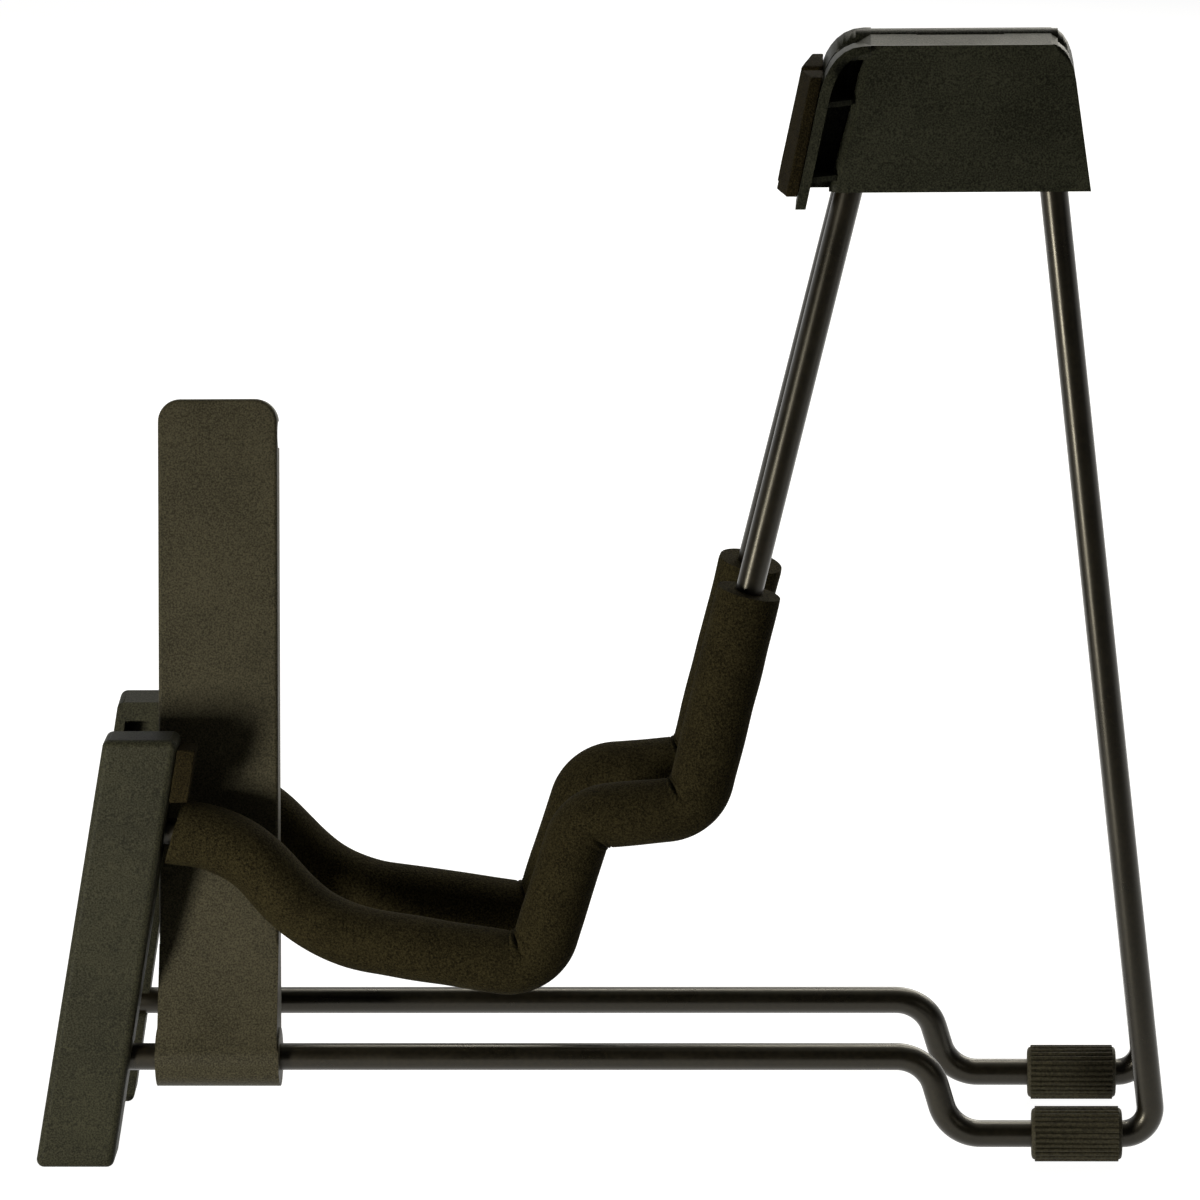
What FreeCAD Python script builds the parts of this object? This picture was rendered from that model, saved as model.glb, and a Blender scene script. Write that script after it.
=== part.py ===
import FreeCAD, Part
import math
import os
import Sketcher
from FreeCAD import Vector, Placement, Rotation

# Small folding instrument stand, shown folded. X runs from the front to the rear, Z is up.
# The right half is built in a local frame whose origin lies on the hinge axis, and leans outwards.
# The left half is its mirror image about the plane Y = 0.
doc = FreeCAD.newDocument("instrument_stand")
sheet = doc.addObject("Spreadsheet::Sheet", "dims")

DIMS = [
    ("hinge_height", 248.6), ("lean", 3.5), ("wire_out", 4.6), ("wire_radius", 3.0),
    ("fit_gap", 0.03),
    # Bend points of the wire: x from the middle of the stand, drop below the hinge axis.
    ("front_top_x", 61.8), ("front_top_drop", 8.4), ("step_rear_x", 21.9), ("step_rear_drop", 168.4),
    ("step_front_x", -2.7), ("step_front_drop", 170.7), ("cradle_rear_x", -13.6),
    ("cradle_rear_drop", 204.8), ("cradle_front_x", -61.3), ("cradle_front_drop", 196.9),
    ("lip_x", -79.0), ("lip_drop", 175.7), ("leg_top_x", -103.75), ("leg_top_drop", 172.3),
    ("leg_low_x", -112.85), ("rail_drop", 225.4), ("rail_rear_x", 72.6), ("foot_front_x", 77.7),
    ("foot_drop", 243.184), ("rear_low_x", 122.55),
    ("rear_top_x", 97.45), ("rear_top_drop", 8.4),
    ("step_bend", 9.0), ("cradle_bend", 34.0), ("lip_bend", 26.0), ("leg_bend", 6.5),
    ("rail_bend", 9.0), ("rear_bend", 6.0),
    # Foam sleeve.
    ("foam_radius", 7.2), ("foam_top_x", 34.02), ("foam_top_drop", 119.8), ("foam_end_x", -93.05),
    # Front leg and its pad.
    ("leg_foot_front_x", -125.95), ("leg_foot_rear_x", -108.55), ("leg_head_front_x", -107.55),
    ("leg_head_rear_x", -91.05), ("leg_head_drop", 151.7), ("leg_foot_drop", 251.5),
    ("leg_inner", 1.4), ("leg_depth", 9.2), ("leg_wall", 2.0), ("leg_round", 1.7),
    ("leg_rib", 2.0), ("leg_rib_drop", 193.0), ("leg_rib_step", 12.0), ("leg_pad_thick", 4.2),
    ("leg_pad_top_drop", 154.0), ("leg_pad_low_drop", 166.0),
    # Rear foot.
    ("foot_radius", 6.15), ("foot_start_x", 95.65), ("foot_length", 20.0), ("foot_chamfer", 0.9),
    ("groove_radius", 0.45), ("groove_length", 16.6), ("groove_count", 30),
    # Head halves.
    ("head_gap", 0.3), ("head_depth", 9.1), ("head_wall", 1.8), ("head_top_front_x", 60.25),
    ("head_top_rear_x", 103.9), ("head_low_front_x", 51.55), ("head_low_rear_x", 107.75),
    ("head_drop", 31.4), ("head_corner", 4.0), ("head_rise", 0.2),
    ("knuckle_radius", 2.45), ("knuckle_gap", 0.35),
    ("knuckle_front_x", 57.55), ("knuckle_rear_x", 100.75), ("knuckle_mid_front_x", 70.75),
    ("knuckle_mid_rear_x", 89.15), ("knuckle_side_gap", 0.12), ("pin_radius", 1.25), ("pin_gap", 0.05),
    ("flange_out", 13.0), ("flange_thick", 2.2), ("flange_mid_x", 49.7), ("flange_mid_drop", 10.6),
    ("flange_tip_x", 44.62), ("flange_tip_drop", 34.4), ("web_thick", 1.2), ("web_high_drop", 11.4),
    ("web_low_drop", 27.6), ("web_reach", 5.6),
    ("head_pad_thick", 2.6), ("head_pad_splay", 2.2), ("head_pad_top_drop", 6.0),
    ("head_pad_low_drop", 31.8), ("head_pad_in", 1.6), ("head_pad_out", 12.4),
    ("recess_floor", 2.1), ("recess_wide", 4.9), ("recess_slope", 1.9),
    # Wire keeper and its screws.
    ("keeper_thick", 1.2), ("keeper_gap", 0.25), ("screw_radius", 1.1), ("screw_head_radius", 2.2),
    ("screw_length", 5.6), ("screw_front_x", 71.45), ("screw_rear_x", 87.95), ("screw_drop", 18.0),
    ("boss_radius", 2.9),
    # Spreader plate.
    ("plate_x", -84.35), ("plate_width", 26.6), ("plate_reach", 146.0), ("plate_thick", 6.0),
    ("plate_skin", 1.8), ("plate_tip_cut", 2.3), ("plate_round", 5.0), ("plate_lean", 16.0),
    ("barrel_radius", 6.5),
    ("barrel_extra", 0.4), ("wedge_reach", 25.0), ("barrel_gap", 0.06), ("hook_reach", 138.0),
    ("hook_depth", 4.6), ("hook_gap", 0.15), ("plate_rib", 1.5), ("plate_rib_step", 32.0),
]
for row, (alias, value) in enumerate(DIMS, start=1):
    sheet.set("A%d" % row, alias)
    sheet.set("B%d" % row, str(value))
    sheet.setAlias("B%d" % row, alias)
doc.recompute()
V = dict(DIMS)


def val(text):
    # Present number of a cell expression.
    return float(FreeCAD.Units.Quantity(str(sheet.evalExpression(text.replace("dims.", "")))).Value)


def bind(obj, prop, text):
    obj.setExpression(prop, text)


def body(label):
    item = doc.addObject("PartDesign::Body", label)
    item.Label = label
    return item


def plane_of(item, role):
    for feature in item.Origin.OriginFeatures:
        if feature.Role == role:
            return feature


def new_sketch(item, name, role, offset="0"):
    # Sketch on a base plane of its body, moved along the plane's normal by a bound distance.
    sk = item.newObject("Sketcher::SketchObject", name)
    sk.AttachmentSupport = [(plane_of(item, role), "")]
    sk.MapMode = "FlatFace"
    if offset != "0":
        sk.setExpression("AttachmentOffset.Base.z", offset)
    return sk


def fix_point(sk, geo, pos, pair):
    # Dimension one sketch point from the origin with bound distances.
    for kind, text in (("DistanceX", pair[0]), ("DistanceY", pair[1])):
        index = sk.addConstraint(Sketcher.Constraint(kind, -1, 1, geo, pos, val(text)))
        sk.setExpression("Constraints[%d]" % index, text)


def polygon(sk, pairs):
    # Closed outline through bound corner points.
    pts = [Vector(val(a), val(b), 0) for a, b in pairs]
    n = len(pts)
    first = sk.GeometryCount
    for i in range(n):
        sk.addGeometry(Part.LineSegment(pts[i], pts[(i + 1) % n]))
    for i in range(n):
        sk.addConstraint(Sketcher.Constraint("Coincident", first + i, 2, first + (i + 1) % n, 1))
    for i in range(n):
        fix_point(sk, first + i, 1, pairs[i])


def circle(sk, cx, cy, radius):
    geo = sk.addGeometry(Part.Circle(Vector(val(cx), val(cy), 0), Vector(0, 0, 1), val(radius)))
    fix_point(sk, geo, 3, (cx, cy))
    index = sk.addConstraint(Sketcher.Constraint("Radius", geo, val(radius)))
    sk.setExpression("Constraints[%d]" % index, radius)


def bent_path(sk, pairs, bends):
    # Straight runs through bound bend points, with a tangent arc of bound radius at each inner one.
    pts = [Vector(val(a), val(b), 0) for a, b in pairs]
    n = len(pts)
    trims = [0.0] * n
    for i in range(1, n - 1):
        u = (pts[i - 1] - pts[i]).normalize()
        w = (pts[i + 1] - pts[i]).normalize()
        trims[i] = val(bends[i - 1]) / math.tan(u.getAngle(w) / 2)
    lines = []
    arcs = []
    for i in range(n - 1):
        d = (pts[i + 1] - pts[i]).normalize()
        lines.append((pts[i] + d * trims[i], pts[i + 1] - d * trims[i + 1]))
    order = []
    firsts = []
    for i in range(n - 1):
        order.append(("line", sk.addGeometry(Part.LineSegment(*lines[i]))))
        if i < n - 2:
            a, b = lines[i][1], lines[i + 1][0]
            corner = pts[i + 1]
            u = (pts[i] - corner).normalize()
            w = (pts[i + 2] - corner).normalize()
            half = u.getAngle(w) / 2
            radius = val(bends[i])
            centre = corner + (u + w).normalize() * (radius / math.sin(half))
            start = math.atan2(a.y - centre.y, a.x - centre.x)
            sweep = math.atan2(b.y - centre.y, b.x - centre.x) - start
            sweep = (sweep + math.pi) % (2 * math.pi) - math.pi
            ring = Part.Circle(centre, Vector(0, 0, 1), radius)
            if sweep < 0:
                start = start + sweep
            geo = sk.addGeometry(Part.ArcOfCircle(ring, start, start + abs(sweep)))
            order.append(("arc", geo))
            firsts.append(1 if sweep > 0 else 2)
    line_ids = [g for k, g in order if k == "line"]
    arc_ids = [g for k, g in order if k == "arc"]
    for i, arc in enumerate(arc_ids):
        near = firsts[i]
        sk.addConstraint(Sketcher.Constraint("Tangent", line_ids[i], 2, arc, near))
        sk.addConstraint(Sketcher.Constraint("Tangent", arc, 3 - near, line_ids[i + 1], 1))
        index = sk.addConstraint(Sketcher.Constraint("Radius", arc, val(bends[i])))
        sk.setExpression("Constraints[%d]" % index, bends[i])
    fix_point(sk, line_ids[0], 1, pairs[0])
    fix_point(sk, line_ids[-1], 2, pairs[-1])
    for i in range(1, n - 1):
        geo = sk.addGeometry(Part.Point(pts[i]), True)
        sk.addConstraint(Sketcher.Constraint("PointOnObject", geo, 1, line_ids[i - 1]))
        sk.addConstraint(Sketcher.Constraint("PointOnObject", geo, 1, line_ids[i]))
        fix_point(sk, geo, 1, pairs[i])


def pad(item, sk, name, length, reverse=False, middle=False):
    f = item.newObject("PartDesign::Pad", name)
    f.Profile = sk
    bind(f, "Length", length)
    f.Reversed = reverse
    f.Midplane = middle
    sk.Visibility = False
    return f


def pocket(item, sk, name, length, reverse=False, middle=False):
    f = item.newObject("PartDesign::Pocket", name)
    f.Profile = sk
    bind(f, "Length", length)
    f.Reversed = reverse
    f.Midplane = middle
    sk.Visibility = False
    return f


def lean_right(item):
    # Put a right-hand sub-part on the hinge axis and lean it outwards.
    item.Placement = Placement(Vector(0, 0, 0), Rotation(Vector(1, 0, 0), -V["lean"]))
    bind(item, "Placement.Base.z", "dims.hinge_height")
    bind(item, "Placement.Rotation.Angle", "-dims.lean * 1 deg")


def mirror(source, label):
    m = doc.addObject("Part::Mirroring", label)
    m.Source = source
    m.Base = Vector(0, 0, 0)
    m.Normal = Vector(0, 1, 0)
    m.Label = label
    return m


WIRE = [
    ("dims.front_top_x", "-dims.front_top_drop"), ("dims.step_rear_x", "-dims.step_rear_drop"),
    ("dims.step_front_x", "-dims.step_front_drop"), ("dims.cradle_rear_x", "-dims.cradle_rear_drop"),
    ("dims.cradle_front_x", "-dims.cradle_front_drop"), ("dims.lip_x", "-dims.lip_drop"),
    ("dims.leg_top_x", "-dims.leg_top_drop"), ("dims.leg_low_x", "-dims.rail_drop"),
    ("dims.rail_rear_x", "-dims.rail_drop"), ("dims.foot_front_x", "-dims.foot_drop"),
    ("dims.rear_low_x", "-dims.foot_drop"), ("dims.rear_top_x", "-dims.rear_top_drop"),
]
BENDS = ["dims.step_bend", "dims.step_bend", "dims.step_bend", "dims.cradle_bend", "dims.lip_bend",
         "dims.leg_bend", "dims.leg_bend", "dims.rail_bend", "dims.rail_bend", "dims.rear_bend"]


def pipe(label, pairs, bends, radii):
    # Round section swept along a bent path that lies in the frame's own plane.
    item = body(label)
    path = new_sketch(item, label + "_path", "XZ_Plane", "dims.wire_out")
    bent_path(path, pairs, bends)
    doc.recompute()
    section = item.newObject("Sketcher::SketchObject", label + "_section")
    section.AttachmentSupport = [(path, "Edge1")]
    section.MapMode = "NormalToEdge"
    for radius in radii:
        circle(section, "0", "0", radius)
    doc.recompute()
    sweep = item.newObject("PartDesign::AdditivePipe", label + "_sweep")
    sweep.Profile = section
    sweep.Spine = (path, [])
    path.Visibility = False
    section.Visibility = False
    lean_right(item)
    doc.recompute()
    return item


# Wire frame: one bent steel wire with both ends in the head, and a slightly larger tool of the same form.
right_wire = pipe("right_wire_frame", WIRE, BENDS, ["dims.wire_radius"])
wire_tool = pipe("wire_tool", WIRE, BENDS, ["dims.wire_radius + dims.fit_gap"])


# Foam sleeve: a tube on the wire from the upright to just behind the front leg.
FOAM = [("dims.foam_top_x", "-dims.foam_top_drop")] + WIRE[1:6]
LIP_SLOPE = "(dims.lip_drop - dims.leg_top_drop) / (dims.lip_x - dims.leg_top_x)"
LIP_AT = "(dims.leg_top_drop + (%s - dims.leg_top_x) * " + LIP_SLOPE + ")"
FOAM = FOAM + [("dims.foam_end_x", "-" + LIP_AT % "dims.foam_end_x")]
foam_form = pipe("foam_form", FOAM, BENDS[:5], ["dims.foam_radius"])
right_foam = doc.addObject("Part::Cut", "right_cradle_foam")
right_foam.Base = foam_form
right_foam.Tool = wire_tool
right_foam.Label = "right_cradle_foam"
doc.recompute()

# Front leg: a channel, open on its inner side, with ribs that sit on the wire and a level foot.
leg = body("leg_form")
sk = new_sketch(leg, "leg_outline", "XZ_Plane", "dims.leg_inner")
LEG = [("dims.leg_foot_front_x", "-dims.leg_foot_drop"), ("dims.leg_foot_rear_x", "-dims.leg_foot_drop"),
       ("dims.leg_head_rear_x", "-dims.leg_head_drop"), ("dims.leg_head_front_x", "-dims.leg_head_drop")]
polygon(sk, LEG)
leg_pad = pad(leg, sk, "leg_block", "dims.leg_depth")
doc.recompute()
sk = new_sketch(leg, "leg_floor", "YZ_Plane")
LOW = "-(dims.hinge_height + (%s) * sin(dims.lean * 1 deg)) / cos(dims.lean * 1 deg)"
polygon(sk, [("-20", LOW % "20"), ("5", LOW % "-5"), ("5", "-dims.leg_foot_drop - 30"),
             ("-20", "-dims.leg_foot_drop - 30")])
leg_cut = pocket(leg, sk, "leg_level", "400", middle=True)
doc.recompute()
edges = []
for number, edge in enumerate(leg_cut.Shape.Edges, start=1):
    box = edge.BoundBox
    outer = -(V["leg_inner"] + V["leg_depth"])
    if box.YMax < outer + 0.01:
        edges.append("Edge%d" % number)
    elif abs(box.ZLength) < 0.7 and box.YLength > 5 and box.ZMax > -V["leg_head_drop"] - 1:
        edges.append("Edge%d" % number)
    elif abs(box.ZLength) < 0.7 and box.YLength > 5 and box.ZMax < 3 - V["leg_foot_drop"]:
        edges.append("Edge%d" % number)
leg_fillet = leg.newObject("PartDesign::Fillet", "leg_edges")
leg_fillet.Base = (leg_cut, edges)
bind(leg_fillet, "Radius", "dims.leg_round")
doc.recompute()
sk = new_sketch(leg, "leg_channel", "XZ_Plane", "dims.leg_inner")
W = "dims.leg_wall"
polygon(sk, [("dims.leg_foot_front_x + %s + 1.9" % W, "-dims.leg_foot_drop + 4.5"),
             ("dims.leg_foot_rear_x - %s + 0.3" % W, "-dims.leg_foot_drop + 4.5"),
             ("dims.leg_head_rear_x - %s - 0.9" % W, "-dims.leg_head_drop - 4.5"),
             ("dims.leg_head_front_x + %s - 0.6" % W, "-dims.leg_head_drop - 4.5")])
pocket(leg, sk, "leg_hollow", "dims.leg_depth - dims.leg_wall", reverse=True)
doc.recompute()
sk = new_sketch(leg, "leg_ribs", "XZ_Plane", "dims.wire_out - 1.2")
for k in range(3):
    top = "-(dims.leg_rib_drop + %d * dims.leg_rib_step)" % k
    low = "-(dims.leg_rib_drop + %d * dims.leg_rib_step + dims.leg_rib)" % k
    lean_x = "(dims.leg_head_front_x - dims.leg_foot_front_x) / (dims.leg_foot_drop - dims.leg_head_drop)"
    at = "dims.leg_head_front_x - (dims.leg_rib_drop + %d * dims.leg_rib_step - dims.leg_head_drop) * %s"
    at = at % (k, lean_x)
    polygon(sk, [(at + " + 1", top), (at + " + 15.5", top), (at + " + 15.5", low), (at + " + 1", low)])
pad(leg, sk, "leg_saddles", "dims.leg_inner + dims.leg_depth - dims.leg_wall / 2 - dims.wire_out + 1.2")
doc.recompute()
sk = new_sketch(leg, "leg_slots", "XZ_Plane", "dims.leg_inner")
R = "dims.wire_radius + dims.fit_gap"
RAIL_SLOT = [("dims.leg_low_x + 4.8", "dims.rail_drop"), ("dims.leg_low_x + 12.8", "dims.rail_drop")]
LIP_SLOT = [(x, LIP_AT % ("(" + x + ")")) for x in ("dims.leg_top_x + 3.6", "dims.leg_top_x + 11.6")]
for (x_low, drop_low), (x_high, drop_high) in (RAIL_SLOT, LIP_SLOT):
    polygon(sk, [(x_low, "-(%s) + %s" % (drop_low, R)), (x_high, "-(%s) + %s" % (drop_high, R)),
                 (x_high, "-(%s) - (%s)" % (drop_high, R)), (x_low, "-(%s) - (%s)" % (drop_low, R))])
pocket(leg, sk, "leg_wall_slots", "dims.wire_out - dims.leg_inner", reverse=True)
lean_right(leg)
doc.recompute()
right_leg = doc.addObject("Part::Cut", "right_front_leg")
right_leg.Base = leg
right_leg.Tool = wire_tool
right_leg.Label = "right_front_leg"
doc.recompute()

# Leg pad: a foam block on the rear face of the leg, where the instrument's front rests.
right_leg_pad = body("right_leg_pad")
sk = new_sketch(right_leg_pad, "leg_pad_outline", "XZ_Plane", "dims.leg_inner + 0.9")
REAR = "(dims.leg_foot_rear_x - dims.leg_head_rear_x) / (dims.leg_foot_drop - dims.leg_head_drop)"
TOP = "dims.leg_head_rear_x + (dims.leg_pad_top_drop - dims.leg_head_drop) * " + REAR
LOW_X = "dims.leg_head_rear_x + (dims.leg_pad_low_drop - dims.leg_head_drop) * " + REAR
polygon(sk, [(TOP, "-dims.leg_pad_top_drop"), (TOP + " + dims.leg_pad_thick", "-dims.leg_pad_top_drop"),
             (LOW_X + " + dims.leg_pad_thick", "-dims.leg_pad_low_drop"), (LOW_X, "-dims.leg_pad_low_drop")])
pad(right_leg_pad, sk, "leg_pad_block", "dims.leg_depth - 1.8")
lean_right(right_leg_pad)
doc.recompute()

# Rear foot: a rubber sleeve with lengthwise grooves between smooth ends.
right_foot = body("right_rear_foot")
sk = new_sketch(right_foot, "foot_ring", "YZ_Plane", "dims.foot_start_x")
sk.setExpression("AttachmentOffset.Base.x", "-dims.wire_out")
sk.setExpression("AttachmentOffset.Base.y", "-dims.foot_drop")
circle(sk, "0", "0", "dims.foot_radius")
circle(sk, "0", "0", "dims.wire_radius + dims.fit_gap")
foot_pad = pad(right_foot, sk, "foot_sleeve", "dims.foot_length")
doc.recompute()
edges = []
for number, edge in enumerate(foot_pad.Shape.Edges, start=1):
    if edge.Curve.TypeId == "Part::GeomCircle" and abs(edge.Curve.Radius - V["foot_radius"]) < 0.01:
        edges.append("Edge%d" % number)
foot_edge = right_foot.newObject("PartDesign::Chamfer", "foot_ends")
foot_edge.Base = (foot_pad, edges)
bind(foot_edge, "Size", "dims.foot_chamfer")
doc.recompute()
groove = new_sketch(right_foot, "foot_groove", "YZ_Plane",
                    "dims.foot_start_x + (dims.foot_length - dims.groove_length) / 2")
groove.setExpression("AttachmentOffset.Base.x", "-dims.wire_out")
groove.setExpression("AttachmentOffset.Base.y", "-dims.foot_drop")
SPLIT = "(180 / dims.groove_count - 90 + dims.lean) * 1 deg"
circle(groove, "(dims.foot_radius + 0.15) * cos(%s)" % SPLIT, "(dims.foot_radius + 0.15) * sin(%s)" % SPLIT,
       "dims.groove_radius")
first_groove = pocket(right_foot, groove, "foot_first_groove", "dims.groove_length", reverse=True)
doc.recompute()
grooves = right_foot.newObject("PartDesign::PolarPattern", "foot_grooves")
grooves.Originals = [first_groove]
grooves.Axis = (groove, ["N_Axis"])
grooves.Angle = 360
bind(grooves, "Occurrences", "dims.groove_count")
right_foot.Tip = grooves
lean_right(right_foot)
doc.recompute()

# Head half: a shallow box, open on its inner side, with ribs on the wire, two bosses and the front flange.
FM, FD = "dims.flange_mid_x", "dims.flange_mid_drop"
T = "dims.flange_thick"
# The flange is drawn as its outer curve, its inner curve and the line between, offset from its middle.
OUTER = [(9.70, -0.20), (7.43, 0.12), (5.43, 1.05), (3.79, 2.43), (2.49, 4.12), (1.47, 6.01),
         (0.64, 8.18), (0.00, 10.60)]
WITHIN = [(10.90, 1.20), (8.84, 1.55), (7.05, 2.40), (5.62, 3.63), (4.48, 5.13), (3.59, 6.82),
          (2.85, 8.78), (2.25, 11.00)]
BETWEEN = [(10.30, 0.50), (8.13, 0.84), (6.24, 1.73), (4.70, 3.03), (3.48, 4.63), (2.53, 6.42),
           (1.74, 8.48), (1.12, 10.80)]


def flange_line(points):
    # Places of a flange curve, moving with the flange's middle and its drop.
    return [("%s + (%s)" % (FM, x), "-(%s) * %s / 10.6" % (drop, FD)) for x, drop in points]


head = body("head_form")
sk = new_sketch(head, "head_outline", "XZ_Plane", "dims.head_gap")
polygon(sk, [("dims.flange_tip_x + %s + 0.4" % T, "-dims.head_drop"),
             ("dims.head_low_rear_x", "-dims.head_drop"),
             ("dims.head_top_rear_x + (0.55)", "-dims.head_corner * 1.850"),
             ("dims.head_top_rear_x + (0.06)", "-dims.head_corner * 1.268"),
             ("dims.head_top_rear_x + (-0.72)", "-dims.head_corner * 0.749"),
             ("dims.head_top_rear_x + (-1.76)", "-dims.head_corner * 0.331"),
             ("dims.head_top_rear_x + (-3.03)", "-dims.head_corner * 0.052"),
             ("dims.head_top_rear_x - 4.5", "dims.head_rise"),
             ("dims.head_top_front_x + 0.4", "dims.head_rise")] + flange_line(BETWEEN[1:]))
pad(head, sk, "head_block", "dims.head_depth")
doc.recompute()
sk = new_sketch(head, "head_hollow_outline", "XZ_Plane", "dims.head_gap")
H = "dims.head_wall"
RIM = FM + " + %s + dims.recess_wide" % T
INNER = [("dims.flange_tip_x + %s + dims.recess_wide + 1.2" % T, "-dims.head_drop + %s" % H),
         ("dims.head_low_rear_x - %s - 0.4" % H, "-dims.head_drop + %s" % H),
         ("dims.head_top_rear_x - %s" % H, "-dims.head_corner - 0.5"),
         (RIM + " + 2.6", "-dims.head_corner - 0.5"), (RIM + " + 0.9", "-%s - 1.4" % FD)]
polygon(sk, INNER)
pocket(head, sk, "head_hollow", "dims.wire_out + dims.wire_radius - dims.head_gap + 0.05", reverse=True)
doc.recompute()
sk = new_sketch(head, "head_ribs", "XZ_Plane", "dims.head_gap + dims.keeper_thick")
for drop in ("dims.screw_drop - 7.5", "dims.screw_drop + 6"):
    polygon(sk, [(FM + " + 2.6", "-(%s)" % drop), ("dims.head_top_rear_x - 0.4", "-(%s)" % drop),
                 ("dims.head_top_rear_x - 0.4", "-(%s) - 1.6" % drop), (FM + " + 2.6", "-(%s) - 1.6" % drop)])
pad(head, sk, "head_saddles", "dims.head_depth - dims.keeper_thick - 0.5")
doc.recompute()
sk = new_sketch(head, "head_bosses", "XZ_Plane", "dims.head_gap + dims.keeper_thick")
for x_mid in ("dims.screw_front_x", "dims.screw_rear_x"):
    circle(sk, x_mid, "-dims.screw_drop", "dims.boss_radius")
pad(head, sk, "head_boss_pads", "dims.head_depth - dims.keeper_thick - 0.5")
doc.recompute()
sk = new_sketch(head, "head_pilots", "XZ_Plane", "dims.head_gap")
for x_mid in ("dims.screw_front_x", "dims.screw_rear_x"):
    circle(sk, x_mid, "-dims.screw_drop", "dims.screw_radius + dims.fit_gap")
pocket(head, sk, "head_pilot_holes", "dims.screw_length + 0.4", reverse=True)
doc.recompute()
EDGE = [("dims.flange_tip_x + %s + dims.recess_wide - 0.2" % T, "-dims.head_drop - 2"),
        ("dims.flange_tip_x + %s + dims.recess_wide + 0.2" % T, "-dims.head_drop + 1.6"),
        (RIM, "-%s - 1.4" % FD), (RIM + " + 1.6", "-5.4"), (RIM + " + 2.6", "-2.8")]
sk = new_sketch(head, "head_recess", "XZ_Plane", "dims.head_gap + dims.head_depth")
polygon(sk, [("dims.flange_tip_x + %s - 0.4" % T, "-dims.head_drop - 2")] + EDGE + flange_line(BETWEEN[3:]))
pocket(head, sk, "head_front_recess", "dims.head_depth + dims.head_gap - dims.recess_floor")
doc.recompute()
slopes = []
for name, deep, wide in (("outer", "0", "dims.recess_slope"), ("inner", "dims.recess_slope", "0.02")):
    sk = new_sketch(head, "head_slope_" + name, "XZ_Plane", "dims.head_gap + dims.head_depth - " + deep)
    polygon(sk, [(x + " + " + wide, z) for x, z in EDGE] + [(x + " - 1.2", z) for x, z in EDGE[::-1]])
    slopes.append(sk)
doc.recompute()
recess_slope = head.newObject("PartDesign::SubtractiveLoft", "head_recess_slope")
recess_slope.Profile = slopes[0]
recess_slope.Sections = [slopes[1]]
recess_slope.Ruled = True
doc.recompute()
sk = new_sketch(head, "head_flange", "XZ_Plane", "dims.head_gap + 0.2")
TIP = [("dims.flange_tip_x", "-dims.flange_tip_drop"),
       ("dims.flange_tip_x + %s" % T, "-dims.flange_tip_drop")]
polygon(sk, flange_line(OUTER) + TIP + flange_line(WITHIN[::-1])
        + [("dims.head_top_front_x + 0.6", "dims.head_rise")])
pad(head, sk, "head_front_flange", "dims.flange_out - dims.head_gap - 0.2")
doc.recompute()
for name, drop in (("high", "dims.web_high_drop"), ("low", "dims.web_low_drop")):
    sk = new_sketch(head, "head_web_" + name, "XY_Plane", "-(%s)" % drop)
    slope = "(dims.flange_mid_x - dims.flange_tip_x) / (dims.flange_tip_drop - dims.flange_mid_drop)"
    at = "%s + %s - 0.8 - (%s - %s) * %s" % (FM, T, drop, FD, slope)
    polygon(sk, [(at + " + 0.6", "-dims.recess_floor + 0.4"), (at + " + 0.6", "-dims.flange_out + 0.8"),
                 (at + " + 1.2", "-dims.flange_out + 0.8"),
                 (at + " + dims.web_reach + 0.4", "-dims.head_depth - dims.head_gap + 0.5"),
                 (at + " + dims.web_reach + 0.4", "-dims.recess_floor + 0.4")])
    pad(head, sk, "head_rib_web_" + name, "dims.web_thick", reverse=True)
    doc.recompute()
lean_right(head)
doc.recompute()


def rod(label, x_from, x_to, radius):
    # Cylinder on the hinge axis between two bound x positions.
    c = doc.addObject("Part::Cylinder", label)
    c.Label = label
    c.Placement = Placement(Vector(0, 0, 0), Rotation(Vector(0, 1, 0), 90))
    bind(c, "Placement.Base.x", x_from)
    bind(c, "Placement.Base.z", "dims.hinge_height")
    bind(c, "Height", "%s - (%s)" % (x_to, x_from))
    bind(c, "Radius", radius)
    return c


def fuse(label, shapes):
    f = doc.addObject("Part::MultiFuse", label)
    f.Shapes = shapes
    f.Label = label
    return f


def cut(label, base, tool):
    c = doc.addObject("Part::Cut", label)
    c.Base = base
    c.Tool = tool
    c.Label = label
    return c


# Knuckles: two on the right half, one between them on the left half, with clearance for each other.
K = "dims.knuckle_radius"
KC = "dims.knuckle_radius + dims.knuckle_gap"
S = "dims.knuckle_side_gap"
front_knuckle = rod("front_knuckle", "dims.knuckle_front_x", "dims.knuckle_mid_front_x - " + S, K)
rear_knuckle = rod("rear_knuckle", "dims.knuckle_mid_rear_x + " + S, "dims.knuckle_rear_x", K)
mid_knuckle = rod("mid_knuckle", "dims.knuckle_mid_front_x", "dims.knuckle_mid_rear_x", K)
mid_room = rod("mid_room", "dims.knuckle_mid_front_x - " + S, "dims.knuckle_mid_rear_x + " + S, KC)
front_room = rod("front_room", "dims.knuckle_front_x - 8", "dims.knuckle_mid_front_x", KC)
rear_room = rod("rear_room", "dims.knuckle_mid_rear_x", "dims.knuckle_rear_x + 8", KC)
front_end = rod("front_end", "dims.knuckle_front_x - 8", "dims.knuckle_front_x", KC)
rear_end = rod("rear_end", "dims.knuckle_rear_x", "dims.knuckle_rear_x + 8", KC)
running_bore = rod("running_bore", "dims.knuckle_front_x - 5", "dims.knuckle_rear_x + 5",
                   "dims.pin_radius + dims.pin_gap")
tight_bore = rod("tight_bore", "dims.knuckle_front_x - 5", "dims.knuckle_rear_x + 5",
                 "dims.pin_radius + 0.01")
hinge_pin = rod("hinge_pin", "dims.knuckle_front_x + 0.4", "dims.knuckle_rear_x - 0.4", "dims.pin_radius")
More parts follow.
